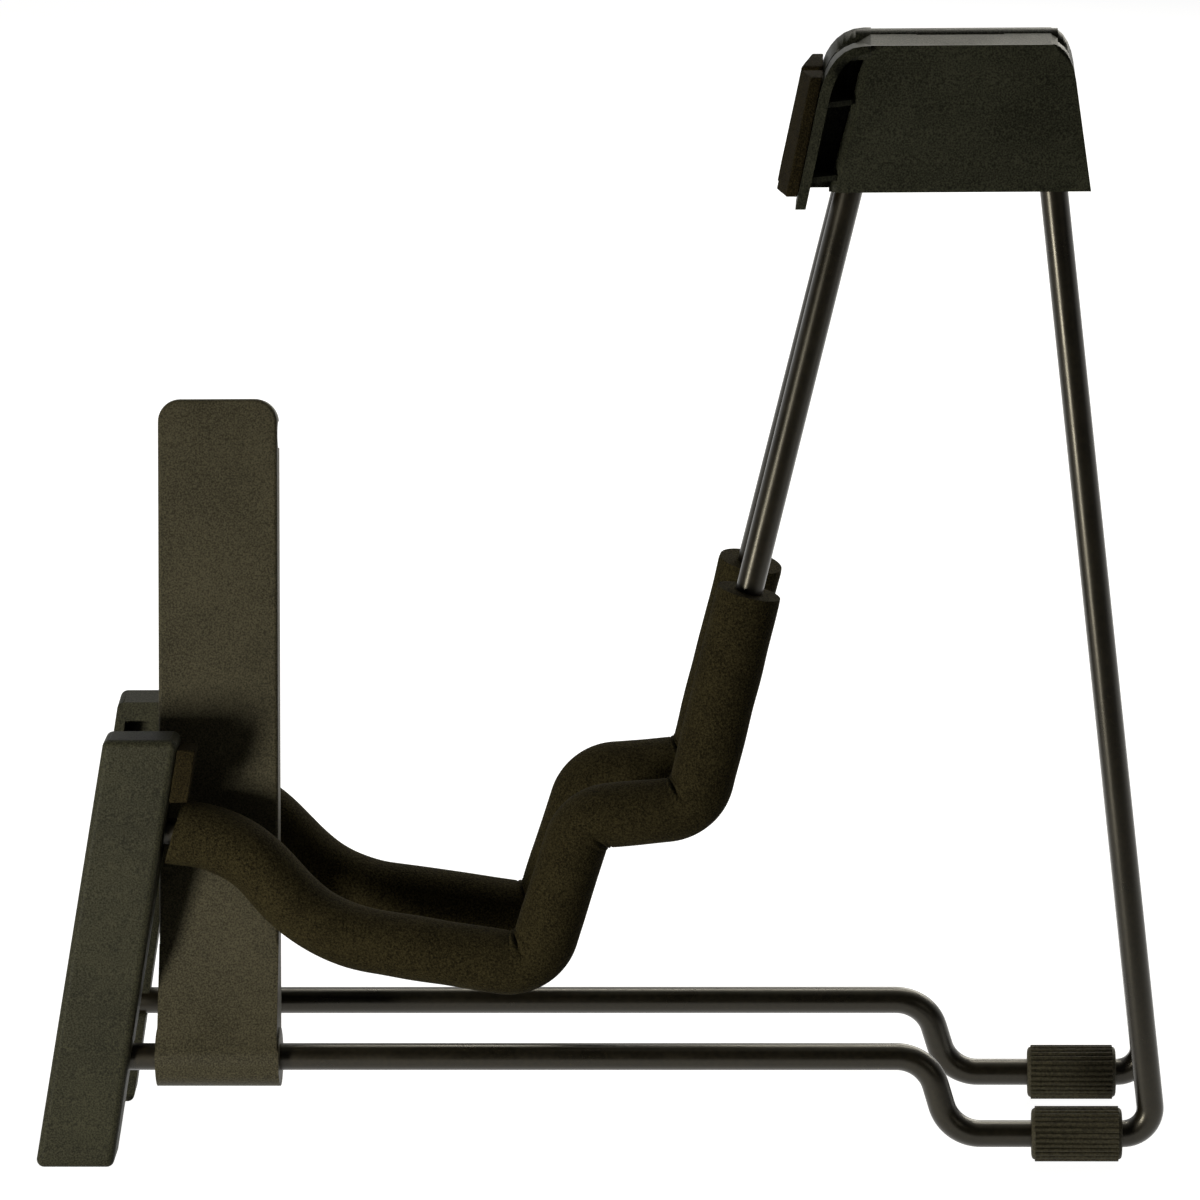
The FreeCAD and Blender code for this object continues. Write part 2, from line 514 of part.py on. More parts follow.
left_head_form = mirror(head, "left_head_form")
left_wire_tool = mirror(wire_tool, "left_wire_tool")
doc.recompute()
right_rooms = fuse("right_rooms", [mid_room, front_end, rear_end])
right_room_cut = cut("right_head_room", head, right_rooms)
right_solid = fuse("right_head_solid", [right_room_cut, front_knuckle, rear_knuckle])
right_tools = fuse("right_head_tools", [running_bore, wire_tool])
right_shell = cut("right_head_shell", right_solid, right_tools)
left_rooms = fuse("left_rooms", [front_room, rear_room])
left_solid = fuse("left_head_solid", [cut("left_head_room", left_head_form, left_rooms), mid_knuckle])
left_tools = fuse("left_head_tools", [tight_bore, left_wire_tool])
left_shell = cut("left_head_shell", left_solid, left_tools)
doc.recompute()

# Head pad: foam glued on the front of the flange.
right_head_pad = body("right_head_pad")
sk = new_sketch(right_head_pad, "head_pad_outline", "XZ_Plane", "dims.head_pad_in")
FACE = "(dims.flange_mid_x - dims.flange_tip_x) / (dims.flange_tip_drop - dims.flange_mid_drop)"
FACE_AT = "dims.flange_tip_x + (dims.flange_tip_drop - (%s)) * " + FACE
HIGH = FACE_AT % "dims.head_pad_top_drop"
UNDER = FACE_AT % "dims.head_pad_low_drop"
THICK = "dims.head_pad_thick"
polygon(sk, [(HIGH, "-dims.head_pad_top_drop"), (UNDER, "-dims.head_pad_low_drop"),
             (UNDER + " - %s - dims.head_pad_splay" % THICK, "-dims.head_pad_low_drop"),
             (HIGH + " - %s - dims.head_pad_splay" % THICK, "-dims.head_pad_top_drop")])
outer_sk = new_sketch(right_head_pad, "head_pad_outer", "XZ_Plane", "dims.head_pad_out")
polygon(outer_sk, [(HIGH, "-dims.head_pad_top_drop"), (UNDER, "-dims.head_pad_low_drop"),
                   (UNDER + " - %s" % THICK, "-dims.head_pad_low_drop"),
                   (HIGH + " - %s" % THICK, "-dims.head_pad_top_drop")])
head_pad_loft = right_head_pad.newObject("PartDesign::AdditiveLoft", "head_pad_block")
head_pad_loft.Profile = sk
head_pad_loft.Sections = [outer_sk]
head_pad_loft.Ruled = True
doc.recompute()
lean_right(right_head_pad)
doc.recompute()

# Wire keeper: a plate inside the half that holds the wire ends on the ribs.
right_keeper = body("right_wire_keeper")
sk = new_sketch(right_keeper, "keeper_outline", "XZ_Plane", "dims.head_gap")
G = "dims.keeper_gap"
polygon(sk, [("(%s) + %s + 0.2" % (INNER[0][0], G), "(%s) + %s" % (INNER[0][1], G)),
             ("(%s) - %s - 0.1" % (INNER[1][0], G), "(%s) + %s" % (INNER[1][1], G)),
             ("(%s) - %s - 0.3" % (INNER[2][0], G), "(%s) - %s" % (INNER[2][1], G)),
             ("(%s) + %s + 0.3" % (INNER[3][0], G), "(%s) - %s" % (INNER[3][1], G)),
             ("(%s) + %s + 0.3" % (INNER[4][0], G), INNER[4][1])])
for x_mid in ("dims.screw_front_x", "dims.screw_rear_x"):
    circle(sk, x_mid, "-dims.screw_drop", "dims.screw_radius + 0.1")
keeper_pad = pad(right_keeper, sk, "keeper_plate", "dims.keeper_thick")
doc.recompute()
edges = []
for number, edge in enumerate(keeper_pad.Shape.Edges, start=1):
    if edge.Curve.TypeId == "Part::GeomCircle" and abs(edge.BoundBox.YMax + V["head_gap"]) < 0.01:
        edges.append("Edge%d" % number)
sink = right_keeper.newObject("PartDesign::Chamfer", "keeper_sinks")
sink.Base = (keeper_pad, edges)
bind(sink, "Size", "dims.screw_head_radius - dims.screw_radius - 0.1")
lean_right(right_keeper)
doc.recompute()

# Keeper screws: two flat-head screws, one node.
screws = []
for name, x_mid in (("front", "dims.screw_front_x"), ("rear", "dims.screw_rear_x")):
    item = body("screw_" + name)
    sk = new_sketch(item, "screw_%s_half" % name, "XY_Plane", "-dims.screw_drop")
    sk.setExpression("AttachmentOffset.Base.x", x_mid)
    polygon(sk, [("0", "-dims.head_gap - 0.05"), ("dims.screw_head_radius - 0.15", "-dims.head_gap - 0.05"),
                 ("dims.screw_radius", "-dims.head_gap - dims.screw_head_radius + dims.screw_radius + 0.15"),
                 ("dims.screw_radius", "-dims.head_gap - dims.screw_length"),
                 ("0", "-dims.head_gap - dims.screw_length")])
    turn = item.newObject("PartDesign::Revolution", "screw_%s_turn" % name)
    turn.Profile = sk
    turn.ReferenceAxis = (sk, ["V_Axis"])
    turn.Angle = 360
    sk.Visibility = False
    lean_right(item)
    screws.append(item)
doc.recompute()
right_screws = fuse("right_keeper_screws", screws)
doc.recompute()

# Spreader plate: a ribbed plate that turns on the right frame's lower rail, with a hook near its free end.
plate = body("spreader_plate")
sk = new_sketch(plate, "plate_outline", "XZ_Plane")
PL = "dims.plate_x - dims.plate_width / 2"
PR = "dims.plate_x + dims.plate_width / 2"
polygon(sk, [(PL, "0"), (PR, "0"), (PR, "dims.plate_reach"), (PL, "dims.plate_reach")])
plate_pad = pad(plate, sk, "plate_block", "dims.plate_thick", reverse=True)
doc.recompute()
edges = []
for number, edge in enumerate(plate_pad.Shape.Edges, start=1):
    box = edge.BoundBox
    if box.YLength > 1 and box.ZMin > V["plate_reach"] - 0.01 and box.XLength < 0.01:
        edges.append("Edge%d" % number)
plate_corners = plate.newObject("PartDesign::Fillet", "plate_corners")
plate_corners.Base = (plate_pad, edges)
bind(plate_corners, "Radius", "dims.plate_round")
doc.recompute()
edges = []
for number, edge in enumerate(plate_corners.Shape.Edges, start=1):
    box = edge.BoundBox
    if box.YMax < 0.01 and box.ZMax > 1:
        edges.append("Edge%d" % number)
plate_edges = plate.newObject("PartDesign::Fillet", "plate_edges")
plate_edges.Base = (plate_corners, edges)
plate_edges.Radius = 0.8
doc.recompute()
sk = new_sketch(plate, "plate_tip", "YZ_Plane", "dims.plate_x")
TH, TOP = "dims.plate_thick", "dims.plate_reach"
polygon(sk, [(TH, TOP + " - 7.4"), (TH + " + 1", TOP + " - 7.4"), (TH + " + 1", TOP + " + 1"),
             (TH + " - dims.plate_tip_cut * (1 + 1 / 7.4)", TOP + " + 1")])
pocket(plate, sk, "plate_tip_slope", "dims.plate_width + 4", middle=True)
sk = new_sketch(plate, "plate_wedge", "YZ_Plane", "dims.plate_x")
polygon(sk, [("-dims.barrel_radius * sqrt(1 - (dims.barrel_radius / dims.wedge_reach)^2)",
              "dims.barrel_radius^2 / dims.wedge_reach"), ("0", "dims.wedge_reach"),
             ("dims.plate_thick", "dims.wedge_reach"), ("dims.plate_thick", "0"), ("0", "0")])
pad(plate, sk, "plate_wedge_block", "dims.plate_width", middle=True)
doc.recompute()
sk = new_sketch(plate, "plate_barrel", "YZ_Plane", "dims.plate_x")
circle(sk, "0", "0", "dims.barrel_radius")
pad(plate, sk, "plate_barrel_block", "dims.plate_width + 2 * dims.barrel_extra", middle=True)
doc.recompute()
sk = new_sketch(plate, "plate_back", "XZ_Plane", "-dims.plate_thick")
polygon(sk, [(PL + " + dims.plate_skin", "dims.barrel_radius + 5"),
             (PR + " - dims.plate_skin", "dims.barrel_radius + 5"),
             (PR + " - dims.plate_skin", "dims.plate_reach - dims.plate_skin - 2"),
             (PL + " + dims.plate_skin", "dims.plate_reach - dims.plate_skin - 2")])
pocket(plate, sk, "plate_hollow", "dims.plate_thick - dims.plate_skin", reverse=True)
doc.recompute()
sk = new_sketch(plate, "plate_ribs", "XZ_Plane", "-dims.plate_thick + 1")
polygon(sk, [("dims.plate_x - dims.plate_rib / 2", "dims.barrel_radius + 4"),
             ("dims.plate_x + dims.plate_rib / 2", "dims.barrel_radius + 4"),
             ("dims.plate_x + dims.plate_rib / 2", "dims.plate_reach - dims.plate_skin - 1"),
             ("dims.plate_x - dims.plate_rib / 2", "dims.plate_reach - dims.plate_skin - 1")])
pad(plate, sk, "plate_long_rib", "dims.plate_thick - 1 - dims.plate_skin / 2")
doc.recompute()
sk = new_sketch(plate, "plate_cross_ribs", "XZ_Plane", "-dims.plate_thick + 1")
for k in range(1, 4):
    low = "dims.barrel_radius + %d * dims.plate_rib_step" % k
    polygon(sk, [(PL + " + 1", low), (PR + " - 1", low), (PR + " - 1", low + " + dims.plate_rib"),
                 (PL + " + 1", low + " + dims.plate_rib")])
pad(plate, sk, "plate_cross_rib_pads", "dims.plate_thick - 1 - dims.plate_skin / 2")
doc.recompute()
sk = new_sketch(plate, "plate_hook", "YZ_Plane", "dims.plate_x")
circle(sk, "dims.hook_depth", "dims.hook_reach", "dims.wire_radius + dims.hook_gap")
pocket(plate, sk, "plate_hook_notch", "dims.plate_width + 4", middle=True)
doc.recompute()
sk = new_sketch(plate, "plate_bore", "YZ_Plane", "dims.plate_x")
circle(sk, "0", "0", "dims.wire_radius + dims.barrel_gap")
pocket(plate, sk, "plate_rail_bore", "dims.plate_width + 8", middle=True)
plate.Placement = Placement(Vector(0, 0, 0), Rotation(Vector(1, 0, 0), -V["plate_lean"]))
bind(plate, "Placement.Base.y",
     "-dims.wire_out * cos(dims.lean * 1 deg) - dims.rail_drop * sin(dims.lean * 1 deg)")
bind(plate, "Placement.Base.z",
     "dims.hinge_height + dims.wire_out * sin(dims.lean * 1 deg) - dims.rail_drop * cos(dims.lean * 1 deg)")
bind(plate, "Placement.Rotation.Angle", "-dims.plate_lean * 1 deg")
doc.recompute()

# Left half: mirror images of the right-hand pieces.
left_wire = mirror(right_wire, "left_wire_frame")
left_foam = mirror(right_foam, "left_cradle_foam")
left_leg = mirror(right_leg, "left_front_leg")
left_leg_pad = mirror(right_leg_pad, "left_leg_pad")
left_foot = mirror(right_foot, "left_rear_foot")
left_head_pad = mirror(right_head_pad, "left_head_pad")
left_keeper = mirror(right_keeper, "left_wire_keeper")
left_screws = mirror(right_screws, "left_keeper_screws")
doc.recompute()

# Check every object, then write one file for each sub-part.
for obj in doc.Objects:
    if "Invalid" in obj.State or "Error" in obj.State:
        raise RuntimeError("%s did not compute: %s" % (obj.Label, obj.State))
NODES = [
    right_wire, left_wire, right_foam, left_foam, right_leg, left_leg, right_leg_pad, left_leg_pad,
    right_foot, left_foot, right_shell, left_shell, right_head_pad, left_head_pad, right_keeper,
    left_keeper, right_screws, left_screws, hinge_pin, plate,
]
os.makedirs("parts", exist_ok=True)
for obj in NODES:
    shape = obj.Shape
    if shape.isNull() or not shape.isValid() or not shape.Solids or shape.Volume <= 0:
        raise RuntimeError("%s has no sound solid" % obj.Label)
    shape.exportStep("parts/%s.step" % obj.Label)
    box = shape.BoundBox
    print("%-22s solids %d volume %.1f" % (obj.Label, len(shape.Solids), shape.Volume),
          [round(v, 2) for v in (box.XMin, box.XMax, box.YMin, box.YMax, box.ZMin, box.ZMax)])
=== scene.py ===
import math

import bmesh
import bpy
from mathutils import Matrix, Vector, noise


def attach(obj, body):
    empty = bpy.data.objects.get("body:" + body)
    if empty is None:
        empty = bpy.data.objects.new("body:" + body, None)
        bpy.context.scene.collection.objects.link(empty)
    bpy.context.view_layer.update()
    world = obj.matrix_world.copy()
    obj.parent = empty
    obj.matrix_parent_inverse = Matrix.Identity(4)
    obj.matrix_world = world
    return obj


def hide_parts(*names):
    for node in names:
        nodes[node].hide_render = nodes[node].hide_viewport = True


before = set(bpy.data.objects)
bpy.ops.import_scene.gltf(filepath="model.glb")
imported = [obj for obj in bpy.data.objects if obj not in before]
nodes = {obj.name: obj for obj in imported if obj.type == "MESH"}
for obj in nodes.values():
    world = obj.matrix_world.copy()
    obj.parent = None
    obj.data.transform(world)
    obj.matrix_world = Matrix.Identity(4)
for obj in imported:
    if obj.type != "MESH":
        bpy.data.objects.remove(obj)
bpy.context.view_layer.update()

# The stand as it comes from the CAD: two mirrored frames folded together under one hinged head.
SIDES = {"right": -1, "left": 1}

# Wire frames: one 6 mm steel wire for each side, bent cold to the outline of the cradle, rail and foot.
# It is dipped in gloss black enamel, and both its ends are held in the head.
# Each bend is given by its place along the stand, its drop below the hinge and its radius, in millimetres.
HINGE_HEIGHT = 0.2486
FRAME_LEAN = math.radians(3.5)
WIRE_OUT = 0.0046
WIRE_RADIUS = 0.003
WIRE_AROUND = 24
SAME_POINT = 1e-7
MM_PER_M = 1000
MIX_COLOUR_A, MIX_COLOUR_B, MIX_COLOUR_RESULT = 6, 7, 2
WIRE_BENDS = [
    (61.8, 8.4, 0), (21.9, 168.4, 9), (-2.7, 170.7, 9), (-13.6, 204.8, 9), (-61.3, 196.9, 34),
    (-79.0, 175.7, 26), (-103.75, 172.3, 6.5), (-112.85, 225.4, 6.5), (72.6, 225.4, 9),
    (77.7, 243.184, 9), (122.55, 243.184, 6), (97.45, 8.4, 0),
]


def on_frame(side, x, drop, out):
    """A point of the leaning frame: along the stand, down from the hinge and out from the middle."""
    y = out * math.cos(FRAME_LEAN) + drop * math.sin(FRAME_LEAN)
    z = HINGE_HEIGHT + out * math.sin(FRAME_LEAN) - drop * math.cos(FRAME_LEAN)
    return Vector((x, SIDES[side] * y, z))


def bent_line(bends, run_step, bend_step):
    """Points, directions and bends of a wire with rounded corners, in the plane of its frame."""
    corners = [Vector((x, drop)) / MM_PER_M for x, drop, radius in bends]
    steps = []
    here = corners[0]

    def add_run(start, end):
        count = max(1, round((end - start).length / run_step))
        heading = (end - start).normalized()
        for k in range(count):
            steps.append((start.lerp(end, k / count), heading, 0.0))
        return heading

    for k in range(1, len(corners) - 1):
        before = (corners[k] - corners[k - 1]).normalized()
        after = (corners[k + 1] - corners[k]).normalized()
        turn = math.atan2(before.x * after.y - before.y * after.x, before.dot(after))
        radius = bends[k][2] / MM_PER_M
        reach = radius * math.tan(abs(turn) / 2)
        start = corners[k] - before * reach
        add_run(here, start)
        side = math.copysign(1, turn)
        centre = start + Vector((-before.y, before.x)) * radius * side
        count = max(3, round(abs(turn) * radius / bend_step))
        for j in range(count):
            spin = Matrix.Rotation(turn * j / count, 2)
            steps.append((centre + spin @ (start - centre), spin @ before, side / radius))
        here = corners[k] + after * reach
    heading = add_run(here, corners[-1])
    steps.append((corners[-1], heading, 0.0))
    return steps


def swept_tube(name, side, steps, out, radii, around):
    """A tube on a bent line. radii(k, angle) gives the radius of ring k, and 0 closes an end."""
    vertices, faces = [], []
    for k, (place, heading, bend) in enumerate(steps):
        across = Vector((-heading.y, heading.x))
        for j in range(around):
            angle = 2 * math.pi * j / around
            radius = radii(k, angle)
            flat = place + across * math.cos(angle) * radius
            vertices.append(on_frame(side, flat.x, flat.y, out + math.sin(angle) * radius))
    for k in range(len(steps) - 1):
        for j in range(around):
            n = (j + 1) % around
            faces.append((k * around + j, k * around + n, (k + 1) * around + n, (k + 1) * around + j))
    mesh = bpy.data.meshes.new(name)
    mesh.from_pydata(vertices, [], faces)
    return mesh


def closed_piece(name, mesh, material, smooth_angle=None):
    """Merges doubles, turns the faces outwards, shades the mesh and puts it in the scene."""
    bm = bmesh.new()
    bm.from_mesh(mesh)
    bmesh.ops.remove_doubles(bm, verts=bm.verts, dist=SAME_POINT)
    bmesh.ops.recalc_face_normals(bm, faces=bm.faces)
    bm.to_mesh(mesh)
    bm.free()
    mesh.shade_smooth()
    if smooth_angle is not None:
        mesh.set_sharp_from_angle(angle=math.radians(smooth_angle))
    mesh.materials.clear()
    mesh.materials.append(material)
    piece = bpy.data.objects.new(name, mesh)
    bpy.context.scene.collection.objects.link(piece)
    return piece


def new_finish(name):
    """An empty node material with its Principled BSDF, and Object coordinates ready to use."""
    material = bpy.data.materials.new(name)
    material.use_nodes = True
    tree = material.node_tree
    shader = tree.nodes["Principled BSDF"]
    place = tree.nodes.new("ShaderNodeTexCoord")
    return material, tree, shader, place.outputs["Object"]


def grain_group():
    """Shared effect: fine moulded grain with soft blotches, as colour, roughness and height."""
    group = bpy.data.node_groups.new("moulded grain", "ShaderNodeTree")
    face = group.interface
    face.new_socket("Vector", in_out="INPUT", socket_type="NodeSocketVector")
    for name, value in (("Grain Scale", 2600.0), ("Blotch Scale", 70.0), ("Roughness Low", 0.5),
                        ("Roughness High", 0.65)):
        face.new_socket(name, in_out="INPUT", socket_type="NodeSocketFloat").default_value = value
    for name in ("Dark", "Light"):
        face.new_socket(name, in_out="INPUT", socket_type="NodeSocketColor")
    face.new_socket("Color", in_out="OUTPUT", socket_type="NodeSocketColor")
    face.new_socket("Roughness", in_out="OUTPUT", socket_type="NodeSocketFloat")
    face.new_socket("Height", in_out="OUTPUT", socket_type="NodeSocketFloat")
    ins = group.nodes.new("NodeGroupInput")
    outs = group.nodes.new("NodeGroupOutput")
    link = group.links.new
    grain = group.nodes.new("ShaderNodeTexNoise")
    grain.inputs["Detail"].default_value = 3.0
    link(ins.outputs["Vector"], grain.inputs["Vector"])
    link(ins.outputs["Grain Scale"], grain.inputs["Scale"])
    blotch = group.nodes.new("ShaderNodeTexNoise")
    blotch.inputs["Detail"].default_value = 4.0
    link(ins.outputs["Vector"], blotch.inputs["Vector"])
    link(ins.outputs["Blotch Scale"], blotch.inputs["Scale"])
    both = group.nodes.new("ShaderNodeMix")
    both.inputs["Factor"].default_value = 0.2
    link(grain.outputs["Fac"], both.inputs["A"])
    link(blotch.outputs["Fac"], both.inputs["B"])
    spread = group.nodes.new("ShaderNodeMapRange")
    spread.inputs["From Min"].default_value = 0.38
    spread.inputs["From Max"].default_value = 0.62
    link(both.outputs["Result"], spread.inputs["Value"])
    colour = group.nodes.new("ShaderNodeMix")
    colour.data_type = "RGBA"
    link(spread.outputs["Result"], colour.inputs["Factor"])
    link(ins.outputs["Dark"], colour.inputs[MIX_COLOUR_A])
    link(ins.outputs["Light"], colour.inputs[MIX_COLOUR_B])
    link(colour.outputs[MIX_COLOUR_RESULT], outs.inputs["Color"])
    rough = group.nodes.new("ShaderNodeMapRange")
    link(blotch.outputs["Fac"], rough.inputs["Value"])
    rough.inputs["From Min"].default_value = 0.3
    rough.inputs["From Max"].default_value = 0.7
    link(ins.outputs["Roughness Low"], rough.inputs["To Min"])
    link(ins.outputs["Roughness High"], rough.inputs["To Max"])
    link(rough.outputs["Result"], outs.inputs["Roughness"])
    link(grain.outputs["Fac"], outs.inputs["Height"])
    return group


GRAIN = grain_group()


def grained_finish(name, dark, light, grain_scale, blotch_scale, rough, bump, depth):
    """A moulded or coated finish: the grain group on a Principled BSDF, with its own sizes and colours."""
    material, tree, shader, place = new_finish(name)
    grain = tree.nodes.new("ShaderNodeGroup")
    grain.node_tree = GRAIN
    tree.links.new(place, grain.inputs["Vector"])
    grain.inputs["Grain Scale"].default_value = grain_scale
    grain.inputs["Blotch Scale"].default_value = blotch_scale
    grain.inputs["Roughness Low"].default_value = rough[0]
    grain.inputs["Roughness High"].default_value = rough[1]
    grain.inputs["Dark"].default_value = (*dark, 1)
    grain.inputs["Light"].default_value = (*light, 1)
    tree.links.new(grain.outputs["Color"], shader.inputs["Base Color"])
    tree.links.new(grain.outputs["Roughness"], shader.inputs["Roughness"])
    relief = tree.nodes.new("ShaderNodeBump")
    relief.inputs["Strength"].default_value = bump
    relief.inputs["Distance"].default_value = depth
    tree.links.new(grain.outputs["Height"], relief.inputs["Height"])
    tree.links.new(relief.outputs["Normal"], shader.inputs["Normal"])
    return material, shader


enamel, enamel_shader = grained_finish(
    "gloss black enamel",
    dark=(0.004, 0.0032, 0.0016),
    light=(0.009, 0.0072, 0.0038),
    grain_scale=900,
    blotch_scale=90,
    rough=(0.26, 0.34),
    bump=0.015,
    depth=0.0002,
)
enamel_shader.inputs["Specular IOR Level"].default_value = 0.42
enamel_shader.inputs["Specular Tint"].default_value = (1, 0.94, 0.8, 1)
wire_line = bent_line(WIRE_BENDS, run_step=0.012, bend_step=0.0006)
wire_rings = [wire_line[0]] + wire_line + [wire_line[-1]]


def wire_radii(k, angle):
    """The radius of the wire, and 0 at the first and last ring, which close its ends."""
    return 0 if k in (0, len(wire_rings) - 1) else WIRE_RADIUS


for side in SIDES:
    mesh = swept_tube(side + "_wire", side, wire_rings, WIRE_OUT, wire_radii, WIRE_AROUND)
    wire = closed_piece(side + "_enamelled_wire", mesh, enamel, smooth_angle=40)
    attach(wire, side + "_frame")
    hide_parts(side + "_wire_frame")

# Cradle sleeves: extruded black foam tube, slid along each wire from the upright, over the step, to the leg.
# It is cut square at its upper end and at a slant by the leg, and it creases on the inside of each tight
# bend.
# A fold has its place along the bend, its width as a share of the bend and its depth.
SLEEVE_RADIUS = 0.0072
SLEEVE_HOLE = WIRE_RADIUS + 0.00005
SLEEVE_AROUND = 56
SLEEVE_BENDS = [
    (34.02, 119.8, 0), (21.9, 168.4, 9), (-2.7, 170.7, 9), (-13.6, 204.8, 9), (-61.3, 196.9, 34),
    (-79.0, 175.7, 26), (-93.05, 173.77, 0),
]


def foam_group():
    """Shared effect: open-cell foam, as a mottled colour and the height of its cells."""
    group = bpy.data.node_groups.new("foam cells", "ShaderNodeTree")
    face = group.interface
    face.new_socket("Vector", in_out="INPUT", socket_type="NodeSocketVector")
    face.new_socket("Cell Scale", in_out="INPUT", socket_type="NodeSocketFloat").default_value = 2000.0
    for name in ("Dark", "Light"):
        face.new_socket(name, in_out="INPUT", socket_type="NodeSocketColor")
    face.new_socket("Color", in_out="OUTPUT", socket_type="NodeSocketColor")
    face.new_socket("Height", in_out="OUTPUT", socket_type="NodeSocketFloat")
    ins = group.nodes.new("NodeGroupInput")
    outs = group.nodes.new("NodeGroupOutput")
    link = group.links.new
    pits = group.nodes.new("ShaderNodeTexVoronoi")
    link(ins.outputs["Vector"], pits.inputs["Vector"])
    link(ins.outputs["Cell Scale"], pits.inputs["Scale"])
    grain = group.nodes.new("ShaderNodeTexNoise")
    grain.inputs["Detail"].default_value = 6.0
    grain.inputs["Roughness"].default_value = 0.8
    link(ins.outputs["Vector"], grain.inputs["Vector"])
    link(ins.outputs["Cell Scale"], grain.inputs["Scale"])
    mottle = group.nodes.new("ShaderNodeTexNoise")
    mottle.inputs["Scale"].default_value = 150.0
    mottle.inputs["Detail"].default_value = 4.0
    link(ins.outputs["Vector"], mottle.inputs["Vector"])
    height = group.nodes.new("ShaderNodeMix")
    height.inputs["Factor"].default_value = 0.45
    link(pits.outputs["Distance"], height.inputs["A"])
    link(grain.outputs["Fac"], height.inputs["B"])
    tone = group.nodes.new("ShaderNodeMix")
    tone.inputs["Factor"].default_value = 0.1
    link(grain.outputs["Fac"], tone.inputs["A"])
    link(mottle.outputs["Fac"], tone.inputs["B"])
    spread = group.nodes.new("ShaderNodeMapRange")
    spread.inputs["From Min"].default_value = 0.43
    spread.inputs["From Max"].default_value = 0.57
    link(tone.outputs["Result"], spread.inputs["Value"])
    colour = group.nodes.new("ShaderNodeMix")
    colour.data_type = "RGBA"
    link(spread.outputs["Result"], colour.inputs["Factor"])
    link(ins.outputs["Dark"], colour.inputs[MIX_COLOUR_A])
    link(ins.outputs["Light"], colour.inputs[MIX_COLOUR_B])
    link(colour.outputs[MIX_COLOUR_RESULT], outs.inputs["Color"])
    link(height.outputs["Result"], outs.inputs["Height"])
    return group


CELLS = foam_group()


def foam_finish(name, dark, light, cell_scale, depth):
    """Foam: the cell group on a rough Principled BSDF, with hardly any gloss."""
    material, tree, shader, place = new_finish(name)
    cells = tree.nodes.new("ShaderNodeGroup")
    cells.node_tree = CELLS
    tree.links.new(place, cells.inputs["Vector"])
    cells.inputs["Cell Scale"].default_value = cell_scale
    cells.inputs["Dark"].default_value = (*dark, 1)
    cells.inputs["Light"].default_value = (*light, 1)
    tree.links.new(cells.outputs["Color"], shader.inputs["Base Color"])
    shader.inputs["Roughness"].default_value = 0.92
    shader.inputs["Specular IOR Level"].default_value = 0.04
    relief = tree.nodes.new("ShaderNodeBump")
    relief.inputs["Strength"].default_value = 0.7
    relief.inputs["Distance"].default_value = depth
    tree.links.new(cells.outputs["Height"], relief.inputs["Height"])
    tree.links.new(relief.outputs["Normal"], shader.inputs["Normal"])
    return material


sleeve_foam = foam_finish(
    "black sleeve foam",
    dark=(0.007, 0.0055, 0.0023),
    light=(0.0345, 0.0287, 0.0126),
    cell_scale=2200,
    depth=0.0004,
)
sleeve_line = bent_line(SLEEVE_BENDS, run_step=0.0012, bend_step=0.0005)
CUT_SLANT = 0.17
CUT_FADE = 0.006
CUT_EDGE_DEEP = SLEEVE_RADIUS - 0.0006
CUT_EDGE_FINE = SLEEVE_RADIUS - 0.0002
TIGHT_BEND = 80
FOLDS = ((0.5, 0.08, 0.0016), (0.2, 0.08, 0.0003), (0.8, 0.08, 0.0003))
FOLD_FALL = 1.5
UNEVEN_ALONG = 90
UNEVEN_AROUND = 0.9
UNEVEN_SHIFT = 7
UNEVEN_DEPTH = 0.00022
UNEVEN_MOST = 0.0001


def crease(k, angle):
    """How far the foam sinks at one place: folds across the inside of a tight bend, none on the outside."""
    bend = sleeve_line[k][2]
    if abs(bend) < TIGHT_BEND:
        return 0.0
    first = k
    while first > 0 and sleeve_line[first - 1][2] == bend:
        first -= 1
    final = k
    while final + 1 < len(sleeve_line) and sleeve_line[final + 1][2] == bend:
        final += 1
    along = (k - first) / max(1, final - first)
    inside = max(0.0, math.cos(angle) * math.copysign(1, bend))
    folds = 0.0
    for centre, width, depth in FOLDS:
        folds += depth * math.exp(-((along - centre) / width) ** 2)
    return folds * inside ** FOLD_FALL


